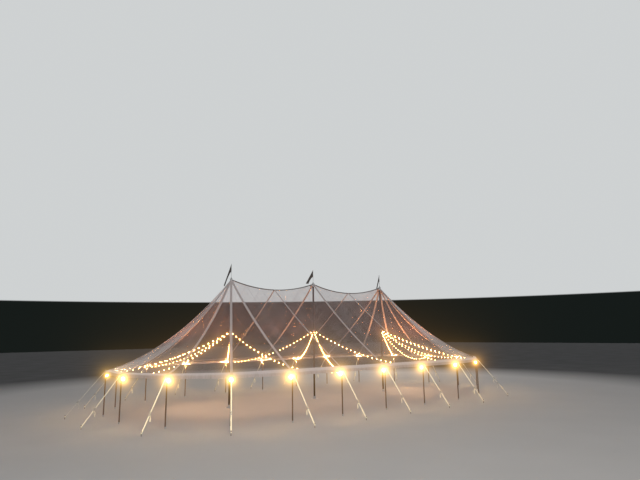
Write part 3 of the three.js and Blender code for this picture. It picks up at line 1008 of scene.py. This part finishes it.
def addFilm(values):
    for word, fromX in bayStarts.items():
        for facing, front in ((-1.0, "front"), (1.0, "back")):
            points, uv = baySheet(fromX, facing, values)
            node = f"roof_{front}_{word}"
            piece = addPiece(f"film_{front}_{word}", [gridShell(points, uv)], clearFilm, [node])
            size = (round(spacing, 3), round(float(uv[..., 1].max()), 3))
            "bay_webs_" + word
            round(min(areaOf(points), size[0] * size[1]), 3)
    for word, side in endSides.items():
        sheets = [goreSheet(side * spacing, side, gore, values) for gore in range(tent["endGores"])]
        shells = [gridShell(points, uv) for points, uv in sheets]
        name = f"film_{word}_end"
        piece = addPiece(name, shells, clearFilm, [f"roof_{word}_end"], weld=0.0005)
        width = sum(np.linalg.norm(points[-1, 0] - points[-1, -1]) for points, _ in sheets)
        size = (round(float(width), 3), round(float(max(uv[..., 1].max() for _, uv in sheets)), 3))
        area = sum(areaOf(points) for points, _ in sheets)
        "webs_" + word


addFilm(film)
print("film roof spread")

# Straps over the roof, the hubs that gather them and the dark piping on the ridge

straps = {
    "mastWidth": 0.130,
    "bayWidth": 0.080,
    "ridgeWidth": 0.096,
    "thickness": 0.005,
    "lift": 0.013,           # underside above the section, clear of the film and the eave band
    "crossing": 0.0035,      # every second strap is raised this much where they meet at a hub
    "crossingReach": 0.3,
    "start": 0.066,
    "rows": 64,
    "tabDrop": 0.075,        # how far a strap hangs over the eave edge to its guy ring
    "tabOut": 0.0165,
    "ridgeStart": 0.076,
    "ridgeStations": 97,
    "overRidge": (0.0058, 0.12),       # how much a bay's straps rise over the ridge strap, and how far out
    "pipingRadius": 0.007,
    "patch": (0.078, 0.200),           # inner and outer radius of the cloth round a peak
    "patchLift": 0.0095,
    "hub": [                           # radius, and height from its top: a waist between two wide rims
        (0.058, -0.159), (0.072, -0.159), (0.074, -0.154), (0.074, -0.124), (0.066, -0.118),
        (0.066, -0.058), (0.074, -0.052), (0.074, -0.004), (0.071, 0.0), (0.030, 0.0),
    ],
}


def drapedStrap(plan, side, width, lift, values, tab=None):
    # a ring of ten points at each station: across under the strap and back over it, at the roof's height
    across = np.array([-1, -0.5, 0, 0.5, 1, 1, 0.5, 0, -0.5, -1]) * width / 2
    over = np.array([0] * 5 + [1] * 5) * values["thickness"]
    xy = plan[:, None] + np.asarray(side)[None, None] * across[:, None]
    points = withHeight(xy, roofHeight(xy[..., 0], xy[..., 1]) + lift[:, None] + over)
    if tab is not None:
        points = np.concatenate([points, tabRings(points[-1], tab, side, across, over, values)])
    return gridShell(points, pairs(across, runAlong(points[:, 2])[:, None]), wrapColumns=True, capped=True)


def tabRings(last, outward, side, across, over, values):
    # the strap turns over the eave edge and hangs straight down to the ring of its guy
    drops = np.array([0.004, 0.014, 0.030, values["tabDrop"]])
    outs = values["tabOut"] + over - np.array([[0.006], [0.001], [0.0], [0.0]])
    middle = last[:5].mean(0)
    low = drops[:, None] + 0 * across
    xy = middle[:2] + np.asarray(outward) * outs[..., None] + np.asarray(side) * across[:, None]
    return withHeight(xy, middle[2] - low + over * 0.2)


def radialStrap(mastX, side, j, values):
    # down radial j from the hub to the eave edge, each odd one raised over its neighbours at the hub
    edge = goreEdges[j]
    outward = np.array([side, 1.0]) * goreRays[j] / edge
    r = np.concatenate([np.linspace(values["start"], 0.6, 14), np.linspace(0.7, edge, values["rows"])])
    plan = np.array([mastX, 0.0]) + r[:, None] * outward
    lift = values["crossing"] * (j % 2)
    raised = values["lift"] + lift * np.exp(-((r / values["crossingReach"]) ** 2))
    return drapedStrap(plan, (-outward[1], outward[0]), values["mastWidth"], raised, values, outward)


def bayStrap(x, facing, values):
    # down the slope half-way between two masts, raised where it crosses the ridge strap
    rise, reach = values["overRidge"]
    y = np.linspace(0.0, roofEdge, values["rows"])
    plan = np.stack([x + 0 * y, facing * y], -1)
    lift = values["lift"] + rise * np.exp(-((y / reach) ** 4))
    return drapedStrap(plan, (-facing, 0.0), values["bayWidth"], lift, values, (0.0, facing))


def ridgeShells(fromX, values):
    # a strap along the ridge from hub to hub and a round cord on it
    along = np.linspace(values["ridgeStart"], spacing - values["ridgeStart"], values["ridgeStations"])
    ridge = np.stack([fromX + along, 0 * along], -1)
    fold = drapedStrap(ridge, (0.0, 1.0), values["ridgeWidth"], values["lift"] + 0 * along, values)
    top = roofHeight(ridge[:, 0], ridge[:, 1]) + values["lift"] + values["thickness"]
    cord = np.column_stack([ridge, top + values["pipingRadius"] * 0.7])
    return [fold, tube(cord, values["pipingRadius"], 10)]


def patchSheet(mastX, values):
    # a disc of coated cloth on the film round the hub: r outwards, a once round
    flat = arc(np.linspace(*values["patch"], 9)[:, None], np.linspace(0, 2 * np.pi, 57))
    x, y = mastX + flat[..., 0], flat[..., 1]
    return np.stack([x, y, roofHeight(x, y) + values["patchLift"]], -1), flat


def addRoofStraps(values):
    for word, mastX in mastXs.items():
        nodes = [f"webs_{word}"]
        last = tent["endGores"]
        radials = [0, last] if word == "centre" else range(last + 1)
        made = [radialStrap(mastX, endSides.get(word, 1.0), j, values) for j in radials]
        addPiece(f"roof_straps_{word}", made, roofWebbing, nodes, sharp=1.0)
        hub = moved(turned(values["hub"], 42), (mastX, 0.0, tent["peak"] + hubRise))
        addPiece(f"strap_hub_{word}", [hub], galvanised, nodes)
        points, uv = patchSheet(mastX, values)
        shell = gridShell(points, uv)
        patch = addPiece(f"peak_patch_{word}", [shell], eaveVinyl, nodes, weld=0.0002)
        size = round(2 * float(runAlong(points)[-1].max() + values["patch"][0]), 3)
        round(areaOf(points), 4)
    for word, fromX in bayStarts.items():
        nodes = [f"bay_webs_{word}"]
        made = [bayStrap(fromX + bay, facing, values) for facing in (-1.0, 1.0)]
        addPiece(f"bay_straps_{word}", made, roofWebbing, nodes, sharp=1.0)
        addPiece(f"ridge_piping_{word}", ridgeShells(fromX, values), pipingCloth, nodes)


addRoofStraps(straps)
print("straps, hubs and patches laid")

# Eave: a belt over the pole tops and a white cloth band that turns down into a valance

eaveBand = {
    "step": 0.085,
    "seam": 0.0002,            # how far a side's band stops short of the next one
    "bandInside": -0.175,      # how far up the roof the band starts, from the line of the poles
    "roofRows": 7,
    "bandLift": 0.0095,
    "valanceOut": 0.0535,
    "drop": 0.149,
    "fallRows": 8,
    "hemUp": 0.026,
    "wave": 0.0045,
    "waves": ((1.0, 9.7, 1.0), (0.7, 23.1, 2.1), (0.5, 4.1, 0.0)),     # size, pace and share of the phase
    "beltStep": 0.25,
    "beltThickness": 0.0065,
    "beltLow": 0.0085,
}


def eaveLine(side, step, seam):
    # points from mid-chord to mid-chord and the outward offset at each: mitred at a pole, straight between
    poles = eaveSides[side]
    first = [pole[0] for pole in eaveLoop].index(poles[0][0])
    at = [eaveLoop[(first + i) % len(eaveLoop)][1] for i in range(-1, len(poles) + 1)]
    corners = [(at[0] + at[1]) / 2, *at[1:-1], (at[-2] + at[-1]) / 2]
    runs = unit(np.diff(corners, axis=0))
    normals = np.stack([runs[:, 1], -runs[:, 0]], -1)
    before, after = np.vstack([normals[:1], normals]), np.vstack([normals, normals[-1:]])
    total = before + after
    offset = 2 * total / (total ** 2).sum(-1, keepdims=True)
    length = np.linalg.norm(np.diff(corners, axis=0), axis=-1)
    stops = np.concatenate([[0], length.cumsum()])
    counts = np.ceil(length / step).astype(int)
    pieces = [np.linspace(stops[i], stops[i + 1], n, endpoint=False) for i, n in enumerate(counts)]
    run = np.concatenate([*pieces, stops[-1:]])
    run[0] += seam
    run[-1] -= seam
    corners = np.array(corners)
    plan = np.stack([np.interp(run, stops, corners[:, axis]) for axis in range(2)], -1)
    mitre = np.stack([np.interp(run, stops, offset[:, axis]) for axis in range(2)], -1)
    return run, plan, mitre


def bandSheet(side, values, phase):
    # down the profile: up-slope edge to the lip on the roof, over the lip, down the valance, up its hem
    run, plan, mitre = eaveLine(side, values["step"], values["seam"])
    rows, falls, lip, drop = values["roofRows"], values["fallRows"], values["valanceOut"], values["drop"]
    slope = np.linspace(values["bandInside"], tent["flangeHalf"], rows)
    offset = np.concatenate([slope, [lip - 0.003], np.full(falls, lip), [lip - 0.003, lip - 0.0045]])
    hem = [drop + 0.001, drop - values["hemUp"]]
    low = np.concatenate([np.zeros(rows), [0.001], np.linspace(0.012, drop, falls), hem])
    xy = plan[:, None] + mitre[:, None] * offset[:, None]
    edge = roofHeight(xy[..., 0], xy[..., 1])
    z = np.where(np.arange(len(offset)) < rows, edge, eave - low) + values["bandLift"] * (low < 0.02)
    hang = np.clip((low - 0.02) / drop, 0, 1)
    slack = sum(size * np.sin(run * pace + share * phase) for size, pace, share in values["waves"])
    push = values["wave"] * slack[:, None] * hang ** 1.3
    points = withHeight(xy + mitre[:, None] * push[..., None], z)
    down = runAlong(points[0])
    return points[:, ::-1], pairs(down, run[:, None])[:, ::-1], down[-1]


def beltShell(side, values):
    # a flat strap laid along the pole tops
    run, plan, mitre = eaveLine(side, values["beltStep"], values["seam"])
    across = np.array([-1, 0, 1, 1, 0, -1]) * tent["flangeHalf"]
    low = np.array([1, 1, 1, 0, 0, 0]) * values["beltThickness"]
    xy = plan[:, None] + mitre[:, None] * across[:, None]
    z = eave - values["beltLow"] + values["beltThickness"] - low + 0 * xy[..., 0]
    return gridShell(withHeight(xy, z), pairs(across, run[:, None]), wrapColumns=True, capped=True)


def addEave(values):
    for number, side in enumerate(eaveSides):
        node = f"eave_{side}"
        points, uv, width = bandSheet(side, values, 1.7 * number)
        shell = gridShell(points, uv)
        band = addPiece(f"eave_cloth_{side}", [shell], eaveVinyl, [node], sharp=1.2)
        addPiece(f"eave_belt_{side}", [beltShell(side, values)], roofWebbing, [node], sharp=1.0)


addEave(eaveBand)
print("eave belt and valance hung")

# Guys: a strap from a ring at each pole head to a ratchet, and on to a loop round its stake

guys = {
    "top": (0.049, 2.300),           # outwards from the pole, and height
    "foot": (1.812, 0.110),
    "width": 0.050,
    "thickness": 0.0035,
    "faceOff": 0.002,                # how far the strap lies off the guy's line
    "backOff": -0.0022,              # and the part that is doubled back behind it
    "ringAt": 0.048,
    "ringRise": 0.052,
    "ringRod": 0.0035,
    "loopRadius": 0.0085,
    "doubled": 0.340,                # where the part doubled back from the ring ends
    "lowerDoubled": 0.26,            # length of the part doubled back from the stake
    "stakeShort": 0.016,             # how far both stop short of the stake's middle
    "ratchetAt": 0.68,
    "ratchetHalf": 0.095,
    "ratchetIn": (0.05, 0.03),       # how far the upper and the lower strap go into it
    "tail": 0.300,
    "stakeRadius": 0.015,
    "loopAt": 0.020,                 # height of the loop round the stake over the guy's own end
    "stakeHead": [(0.0215, 0.190), (0.0240, 0.195), (0.0236, 0.204), (0.0205, 0.210), (0.0120, 0.212)],
}
guyTop = np.array([guys["top"][0], 0.0, guys["top"][1]])
guyFoot = np.array([guys["foot"][0], 0.0, guys["foot"][1]])
guyLength = float(np.linalg.norm(guyFoot - guyTop))
guyAlong = (guyFoot - guyTop) / guyLength
guyAcross = (0.0, 1.0, 0.0)
guyAxes = np.stack([guyAlong, guyAcross, np.cross(guyAlong, guyAcross)])
ratchetMiddle = guys["ratchetAt"] * guyLength


def guyLine(start, end, out, count):
    # points on the guy's own line between two distances down it, lifted off it by out
    distance = np.linspace(start, end, count)[:, None]
    return guyTop + distance * guyAlong + out * guyAxes[2]


def guyStraps(values):
    # two straps on the guy's line, from the ring to the ratchet and on to the stake, their ends doubled back
    thick, wide = values["thickness"], values["width"]
    near, far = ratchetMiddle - values["ratchetHalf"], ratchetMiddle + values["ratchetHalf"]
    upperIn, lowerIn = values["ratchetIn"]
    face, back, end = values["faceOff"], values["backOff"], guyLength - values["stakeShort"]
    lines = [
        guyLine(values["ringAt"], near + upperIn, face, 30),
        guyLine(values["ringAt"], values["doubled"], back, 10),
        guyLine(far - lowerIn, end, face, 16),
        guyLine(guyLength - values["lowerDoubled"], end, back, 8),
    ]
    flat = [ribbon(line, guyAcross, wide, thick) for line in lines]
    return [*flat, stakeLoop(values), strapTail(values), ringLoop(values)]


def stakeLoop(values):
    # the strap's end wrapped round the stake in a half turn
    angle = np.linspace(-np.pi / 2, np.pi / 2, 13)
    r = values["stakeRadius"] + values["thickness"] / 2 + 0.0008
    lead = np.array([(-0.030, -0.0035), (-0.012, -0.0135)])
    flat = np.vstack([lead, arc(r, angle), lead[::-1] * (1, -1)])
    path = np.column_stack([flat, np.zeros(len(flat))])
    wrap = ribbon(path, (0.0, 0.0, 1.0), values["width"] * 0.9, values["thickness"])
    return moved(wrap, guyFoot + (0.0, 0.0, values["loopAt"]))


def strapTail(values):
    # the free end: out of the ratchet's roll, over its edge and straight down, curling a little
    t = np.linspace(0, 1, 16)
    start = guyTop + (ratchetMiddle + 0.02) * guyAlong - 0.012 * guyAxes[2]
    x = start[0] - 0.050 * np.sin(t * 1.9) + 0.012 * np.sin(t * 9.0)
    z = start[2] - values["tail"] * t ** 1.15
    path = np.stack([x, 0 * t + 0.004 * np.sin(t * 5), z], -1)
    return ribbon(path, guyAcross, values["width"], values["thickness"] * 0.7)


def ringLoop(values):
    # a short sewn loop round the ring's bar
    angle = np.linspace(0, np.pi, 9)
    r = values["loopRadius"]
    centre = guyTop + values["ringAt"] * guyAlong
    path = centre - r * np.sin(angle)[:, None] * guyAlong + r * 0.5 * np.cos(angle)[:, None] * guyAxes[2]
    return ribbon(path, guyAcross, values["width"] * 0.96, values["thickness"] * 0.8)


def guyRing(values):
    # a D of rod: a straight bar that the strap goes round, and a bow up under the roof strap's tab
    half, rise = values["width"] / 2 + 0.006, values["ringRise"]
    angle = np.linspace(0, np.pi, 15)
    bow = np.stack([-rise * np.sin(angle), half * np.cos(angle)], -1)
    bar = np.stack([np.zeros(5), np.linspace(-half, half, 7)[1:-1]], -1)
    flat = np.vstack([bow, bar])
    centre = guyTop + (values["ringAt"] - 0.006) * guyAlong
    path = centre + flat[:, :1] * guyAlong + flat[:, 1:] * guyAxes[1]
    return tube(path, values["ringRod"], 8, hint=guyAxes[2], closed=True)


ratchet = {          # in its own axes: X down the strap, Y across it, Z away from it
    "cheek": (0.0285, 0.003),        # half the gap between the two, and their wall
    "arm": (0.0340, 0.003),
    "wheel": (0.0318, 0.0022),
    "teeth": 11,
    "axle": (0.010, 0.002),
    "bars": (                        # X, Z, radius and half length of what goes across
        (0.010, 0.002, 0.0085, 0.038), (-0.070, 0.002, 0.0055, 0.036),
        (0.070, 0.000, 0.0055, 0.036), (-0.086, 0.018, 0.0095, 0.036),
    ),
    "pawl": (0.036, 0.058, 0.004),
    "pawlAt": (0.046, 0.0, 0.012),
    "roll": [(0.0128, -0.0245), (0.0136, -0.0235), (0.0136, 0.0235), (0.0128, 0.0245)],
}


def ratchetShells(values):
    # egg-shaped cheeks, a handle's arms and saw-toothed wheels on both sides, bars across and a pawl
    cosine, sine = circle(1.0, 28).T
    tooth = np.linspace(0, 2 * np.pi, 44, endpoint=False)
    radius = 0.0165 + 0.0045 * ((tooth * values["teeth"] / (2 * np.pi)) % 1.0)
    x, z = values["axle"]
    outlines = {
        "cheek": np.stack([0.082 * cosine, 0.019 * sine * (1 - 0.25 * cosine) + 0.002], -1),
        "arm": np.stack([0.075 * cosine - 0.012, 0.009 * sine + 0.018 + 0.006 * cosine], -1),
        "wheel": arc(radius, tooth) + (x, z),
    }
    shells = []
    for sign in (-1.0, 1.0):
        for part, outline in outlines.items():
            inner, wall = values[part]
            low, high = sorted((sign * inner, sign * (inner + wall)))
            shells.append(placed(prism(outline[::-1], low, high, 0.0006), acrossAxes))
    for x, z, radius, half in values["bars"]:
        shells.append(placed(roundBar(radius, -half, half, 0.0015, 14), lyingAxes, (x, 0.0, z)))
    return [*shells, moved(block(values["pawl"], 0.001), values["pawlAt"])]


def rollShell(values):
    # the strap wound on the ratchet's axle
    x, z = values["axle"]
    return placed(turned(values["roll"], 18), lyingAxes, (x, 0.0, z))


def stakeShell(values):
    # a forged rod with a shouldered, slightly mushroomed head
    r = values["stakeRadius"]
    profile = [(r * 0.9, 0.0), (r, 0.003), (r, 0.178), (r + 0.003, 0.186), *values["stakeHead"]]
    return moved(turned(profile, 18), (values["foot"][0], 0.0, 0.0))


def addGuys(values):
    middle = guyTop + ratchetMiddle * guyAlong
    webbing = [*guyStraps(values), placed(rollShell(ratchet), guyAxes, middle)]
    irons = [placed(shell, guyAxes, middle) for shell in ratchetShells(ratchet)] + [guyRing(values)]
    kinds = (("guy_straps", webbing, guyWebbing, "white_webbing", 0.9),
             ("guy_ratchets", irons, ratchetSteel, "base_steel", 0.5),
             ("guy_stakes", [stakeShell(values)], forgedSteel, "base_steel", 0.5))
    addAtPoles(kinds, {side: [f"eave_{side}"] for side in eaveSides})


def addGuyLight(values):
    # it reaches the guys' straps only
    own = {"angle": values["guySoftness"]}
    turn = turnFrom(values["guyFrom"])
    lamp = addLight("guy_light", "SUN", turn, values["guyPower"], values["guyColour"], own)
    lit = bpy.data.collections.new("lit_guys")
    for side in eaveSides:
        lit.objects.link(bpy.data.objects[f"guy_straps_{side}"])
    lamp.light_linking.receiver_collection = lit


addGuys(guys)
addGuyLight(studio)
print("guys, ratchets and stakes set")

# Side poles: turned timber in steel shoes, with a pin through the belt and a lamp on a bracket

sidePole = {
    "radius": timberRadius,
    "top": eave - 0.0103,
    "shoeHeight": 0.085,
    "capHeight": 0.110,
    "sleeve": 0.0014,
    "washer": [(0.030, 2.3605), (0.034, 2.3610), (0.034, 2.3645), (0.032, 2.3655), (0.010, 2.3655)],
    "nut": (0.0125, 2.366, 2.378),
    "pinTop": 2.405,
    "lampHeight": 2.095,
    "lampOffset": 0.118,
    "globe": 0.058,
    "lampCapRadius": 0.032,
    "lampCapHeight": 0.056,
    "lampCap": [             # a ribbed casting: beyond the cap's radius, and height over the globe's neck
        (-0.004, -0.006), (0.006, -0.004), (0.0075, 0.002), (0.001, 0.008), (0.0, 0.018), (0.002, 0.020),
        (0.002, 0.024), (0.0, 0.026), (0.002, 0.030), (0.002, 0.034), (0.0, 0.036), (-0.003, 0.044),
    ],
    "hood": 0.075,
    "hoodWall": 0.0016,
    "hoodRim": 2.00,         # angle from the hood's crown to its rim, a little past a half ball
}
lampNeck = sidePole["lampHeight"] + np.sqrt(sidePole["globe"] ** 2 - sidePole["lampCapRadius"] ** 2)
lampTop = lampNeck + sidePole["lampCapHeight"]


def poleTimber(values):
    # a round pole, a hair thinner at its ends where the irons go over it
    r, top = values["radius"], values["top"]
    heights = np.array([0.006, 0.10, 0.5, 1.1, 1.7, 2.1, top - 0.12, top - 0.006])
    swell = np.array([-0.0012, -0.0006, 0, 0.0006, 0.0003, 0, -0.0006, -0.0012])
    return [turned(np.stack([r + swell, heights], -1), 28)]


def poleIrons(values):
    # a shoe and a cap over the pole's ends, bolted through; a pin up through the belt, its washer and its nut
    r, top, sleeve = values["radius"], values["top"], values["sleeve"]
    shoeTop, capLow, pinTop = values["shoeHeight"], top - values["capHeight"], values["pinTop"]
    shoe = [(r - 0.004, 0.0), (r + sleeve, 0.002), (r + sleeve, shoeTop), (r - 0.001, shoeTop + 0.002)]
    cap = [(r - 0.001, capLow - 0.002), (r + sleeve, capLow), (r + sleeve, top - 0.003), (r - 0.004, top)]
    spike = [(0.0075, top - 0.002), (0.0080, pinTop - 0.006), (0.0072, pinTop - 0.002), (0.0045, pinTop)]
    shells = [turned(shoe, 28), turned(cap, 28), turned(values["washer"], 24), turned(spike, 14)]
    nut, nutLow, nutHigh = values["nut"]
    shells.append(prism(circle(nut, 6), nutLow, nutHigh, 0.0012))
    shells += bracketShells(values)
    for height in (shoeTop * 0.55, top - values["capHeight"] * 0.5):
        shells += boltAcross(r + sleeve, height)
    return shells


def boltAcross(reach, height):
    # a hexagon head and a nut at the two ends of a bolt along Y
    head = prism(circle(0.0085, 6), 0.0, 0.006, 0.001)
    front = [(1, 0, 0), (0, 0, -1), (0, 1, 0)]
    back = [(-1, 0, 0), (0, 0, -1), (0, -1, 0)]
    return [placed(head, front, (0, reach - 0.0008, height)), placed(head, back, (0, 0.0008 - reach, height))]


def bracketShells(values):
    # a clamp round the pole, an arm inwards with a rib under it, and a bolt through the lamp's cap
    r, reach, top = values["radius"], values["lampOffset"], lampTop
    inner, outer = r - 0.001, r + 0.004
    clamp = [(inner, top - 0.040), (outer, top - 0.039), (outer, top + 0.001), (inner, top + 0.002)]
    arm = block((reach + 0.010 - r, 0.030, 0.006), 0.0012)
    root = -r - 0.002
    rib = np.array([(-r - 0.030, -0.013), (-reach + 0.034, -0.006), (root, -0.006), (root, -0.036)])
    bolt = prism(circle(0.0090, 6), 0.0, 0.006, 0.001)
    return [
        turned(clamp, 28),
        moved(arm, (-(reach + 0.010 + r) / 2, 0.0, top - 0.003)),
        placed(prism(rib, -0.0022, 0.0022, 0.0005), acrossAxes, (0, 0, top)),
        moved(bolt, (-reach, 0.0, top - 0.0005)),
    ]


def lampHousing(values):
    # a ribbed cast cap with a skirt over the globe's neck
    r = values["lampCapRadius"]
    profile = [(r + out, lampNeck + up) for out, up in values["lampCap"]]
    profile += [(r - 0.010, lampTop - 0.007), (0.010, lampTop - 0.0062)]
    return moved(turned(profile, 28), (-values["lampOffset"], 0.0, 0.0))


def lampGlobe(values):
    # a ball of opal glass cut off at its neck
    r, middle = values["globe"], values["lampHeight"]
    angle = np.linspace(-np.pi / 2 + 0.03, np.arcsin((lampNeck - middle) / r), 17)
    profile = arc(r, angle) + (0.0, middle)
    return moved(turned(profile, 28), (-values["lampOffset"], 0.0, 0.0))


def lampHood(values):
    # a spun bowl that keeps the light off the tent's inside: an inner and an outer skin of a ball, its
    # crown towards the masts and its mouth towards the guy
    angle = np.linspace(0.05, values["hoodRim"], 15)
    skin = np.stack([np.sin(angle), np.cos(angle)], -1)
    profile = np.vstack([skin * (values["hood"] - values["hoodWall"]), skin[::-1] * values["hood"]])
    facing = [(0, 1, 0), (0, 0, -1), (-1, 0, 0)]
    return placed(turned(profile, 28), facing, (-values["lampOffset"], 0.0, values["lampHeight"]))


def addSidePoles(values):
    kinds = (("pole_timbers", poleTimber(values), poleWood, "pole_timber", 0.6),
             ("pole_irons", poleIrons(values), galvanised, "base_steel", 0.6),
             ("lamp_housings", [lampHousing(values)], lampEnamel, "base_steel", 0.6),
             ("lamp_hoods", [lampHood(values)], darkSteel, "base_steel", 0.6),
             ("lamp_globes", [lampGlobe(values)], lampGlass, "string_cable", 0.6))
    addAtPoles(kinds, {side: [pole[0] for pole in poles] for side, poles in eaveSides.items()})


addSidePoles(sidePole)
print("side poles and lamps stood")

# Masts: dark varnished timber in a steel foot, with a joint sleeve and a ferrule under the hub

mast = {
    "radius": 0.057,
    "top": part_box("mast_centre")[1].z,
    "bottom": 0.0123,
    "joint": 3.30,
    "jointHalf": 0.180,
    "ferrule": 0.150,
    "footHeight": 0.160,
    "footRadius": 0.074,
    "plateHalf": 0.200,
    "plateHigh": 0.012,
    "gussetIn": 0.040,       # how far the gussets and the pegs stay inside the plate's edge
    "pegIn": 0.034,
}


def mastTimber(values):
    # a round mast whose radius waves by less than a millimetre along its height
    r, top, bottom = values["radius"], values["top"], values["bottom"]
    heights = np.linspace(0.0125, top - 0.004, 25)
    profile = np.stack([r - 0.0004 * np.cos(heights * 5), heights], -1)
    return [turned([(r - 0.004, bottom), *profile[1:], (r - 0.004, top)], 36)]


def mastIrons(values):
    # a sleeve over the joint and a ferrule at the top, each with a thicker collar at both ends, and bolts
    r, top, joint, half = values["radius"], values["top"], values["joint"], values["jointHalf"]
    inner, wall, collar = r - 0.001, r + 0.0016, r + 0.0026
    shells = []
    for low, high in ((joint - half, joint + half), (top - values["ferrule"], top - 0.002)):
        band = [(inner, low), (collar, low + 0.002), (collar, low + 0.014), (wall, low + 0.018),
                (wall, high - 0.018), (collar, high - 0.014), (collar, high - 0.002), (inner, high)]
        shells.append(turned(band, 36))
    for height in (joint - 0.10, joint + 0.10):
        bolts = boltAcross(r + 0.0018, height)
        shells += [placed(bolt, turnAxes(angle)) for angle in (0.0, np.pi / 2) for bolt in bolts]
    return shells


def mastFoot(values):
    # a square plate, a socket tube on it, four gussets and four pegs with washers
    r, high, half, thin = values["footRadius"], values["footHeight"], values["plateHalf"], values["plateHigh"]
    bore, toe = values["radius"] + 0.0003, half - values["gussetIn"]
    plate = moved(block((2 * half, 2 * half, thin), 0.0015), (0, 0, thin / 2))
    socket = [(r, thin - 0.001), (r, high - 0.003), (r - 0.003, high), (bore + 0.002, high),
              (bore, high - 0.002), (bore, thin - 0.001)]
    gusset = np.array([(r - 0.004, thin - 0.001), (toe, thin - 0.001), (toe, thin + 0.018),
                       (r + 0.010, high - 0.022), (r - 0.004, high - 0.022)])
    stood = placed(prism(gusset, -0.004, 0.004, 0.001), [(1, 0, 0), (0, 0, 1), (0, -1, 0)])
    washer = [(0.020, -0.001), (0.021, 0.0), (0.021, 0.003), (0.012, 0.0035)]
    peg = [(0.012, 0.003), (0.013, 0.005), (0.013, 0.014), (0.009, 0.018)]
    corner = (half - values["pegIn"]) * np.sqrt(2)
    shells = [plate, turned(socket, 36, hollow=True)]
    for k in range(4):
        shells.append(placed(stood, turnAxes(k * np.pi / 2)))
        spot = turnAxes(k * np.pi / 2 + np.pi / 4)[0] * corner + (0, 0, thin)
        shells += [moved(turned(washer, 20), spot), moved(turned(peg, 16), spot)]
    for angle in (np.pi / 4, 3 * np.pi / 4):
        shells += [placed(bolt, turnAxes(angle)) for bolt in boltAcross(r, high * 0.62)]
    return shells


def addMasts(values):
    kinds = (("mast_timber", mastTimber(values), mastWood, "mast_timber", "mast"),
             ("mast_irons", mastIrons(values), darkSteel, "base_steel", "mast"),
             ("mast_base", mastFoot(values), galvanised, "base_steel", "mast_foot"))
    addAtMasts(kinds)


addMasts(mast)
print("masts raised")

# Crowns and pennants over the peaks

crown = {
    "base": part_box("crown_centre")[0].z,
    "collar": 0.092,
    "collarHeight": 0.014,
    "socket": 0.024,
    "socketTop": 0.104,
    "staff": 0.009,
    "staffTop": 0.930,
    "ball": 0.016,
    "bolts": 6,
    "boltIn": 0.014,
}
pennant = {
    "lean": np.pi * 0.8,
    "hoist": 0.910,
    "gap": 0.0003,
    "fold": 0.0095,
    "tied": 0.450,         # how far down the staff the cloth is tied
    "taper": 0.62,         # share of its length times its width that the tapered cut fills
    "hang": {              # how far each reaches out and down, and the length of its blunt end
        "left": (0.450, 1.330, 0.075), "centre": (0.500, 0.910, 0.185), "right": (0.250, 1.000, 0.075),
    },
}


def crownShells(values):
    # a domed collar with its bolts, a socket with a grub screw, and a staff with a ball at its tip
    collar, thin, socket, top = [values[key] for key in ("collar", "collarHeight", "socket", "socketTop")]
    staff, tip, knob = values["staff"], values["staffTop"], values["ball"]
    swell = np.linspace(0, np.pi / 2, 6)
    out = collar - 0.003 - (collar - 0.003 - socket) * np.sin(swell)
    slope = np.stack([out, thin * (2 - np.cos(swell))], -1)
    turn = np.linspace(-1.1, 1.45, 9)
    ball = arc(knob, turn) + (0.0, tip - knob - 0.0005)
    profile = [(collar - 0.002, 0.0), (collar, 0.003), (collar, thin - 0.003), *slope, (socket, top - 0.002),
               (socket - 0.002, top), (staff, top), (staff, 0.4), (staff, tip - 0.034), *ball]
    bolt = prism(circle(0.0075, 6), thin - 0.001, thin + 0.006, 0.001)
    angles = np.arange(values["bolts"]) * 2 * np.pi / values["bolts"]
    bolts = [moved(bolt, turnAxes(angle)[0] * (collar - values["boltIn"])) for angle in angles]
    screw = prism(circle(0.006, 6), 0.0, 0.008, 0.001)
    outwards = [(0, 1, 0), (0, 0, 1), (1, 0, 0)]
    return [turned(profile, 32), *bolts, placed(screw, outwards, (socket - 0.001, 0.0, top - 0.02))]


def pennantSheet(reach, drop, blunt, values):
    # between a straight outer edge and a bent inner one, from the staff to a blunt end, in soft pleats
    hoist, near, tied = values["hoist"], crown["staff"] + values["gap"], values["tied"]
    u = np.linspace(0, 1, 61)[:, None]
    v = np.linspace(0, 1, 29)[None]

    def bend(*points):
        places = np.array([(max(x, near), hoist - z) for x, z in points])
        a, b, c = places[:, :, None, None]
        return (1 - u) ** 2 * a + 2 * u * (1 - u) * b + u ** 2 * c

    outer = bend((0, 0), (reach / 2, 0.49 * drop), (reach, 0.98 * drop))
    inner = bend((0, tied), (0.36 * reach, 0.8 * tied + 0.2 * drop), (reach - blunt, drop))
    x, z = outer + (inner - outer) * v
    width = np.linalg.norm(inner - outer, axis=0)
    pleat = np.sin(2 * np.pi * (2.6 * v + 0.5 * u)) + 0.35 * np.sin(2 * np.pi * (5.3 * v - 1.2 * u))
    y = values["fold"] * 0.72 * pleat * np.clip(width / 0.09, 0, 1) * np.clip(u / 0.06, 0.05, 1)
    points = np.stack([x, y, z], -1)
    return points, pairs(v * float(width.max()), runAlong(points))


def addPennants(values):
    for word, x in mastXs.items():
        points, uv = pennantSheet(*values["hang"][word], values)
        shell = placed(gridShell(points, uv), turnAxes(values["lean"]), (x, 0.0, crown["base"]))
        name = f"pennant_flag_{word}"
        cloth = addPiece(name, [shell], pennantCloth, [f"pennant_{word}"], sharp=2.0)
        area, long = areaOf(points), float(uv[..., 1].max())


# the crowns take the darker zinc, whose darkness is painted shade
addAtMasts([("crown_cap", crownShells(crown), shadedZinc, "crown_steel", "crown")], crown["base"])
addPennants(pennant)
print("crowns and pennants up")
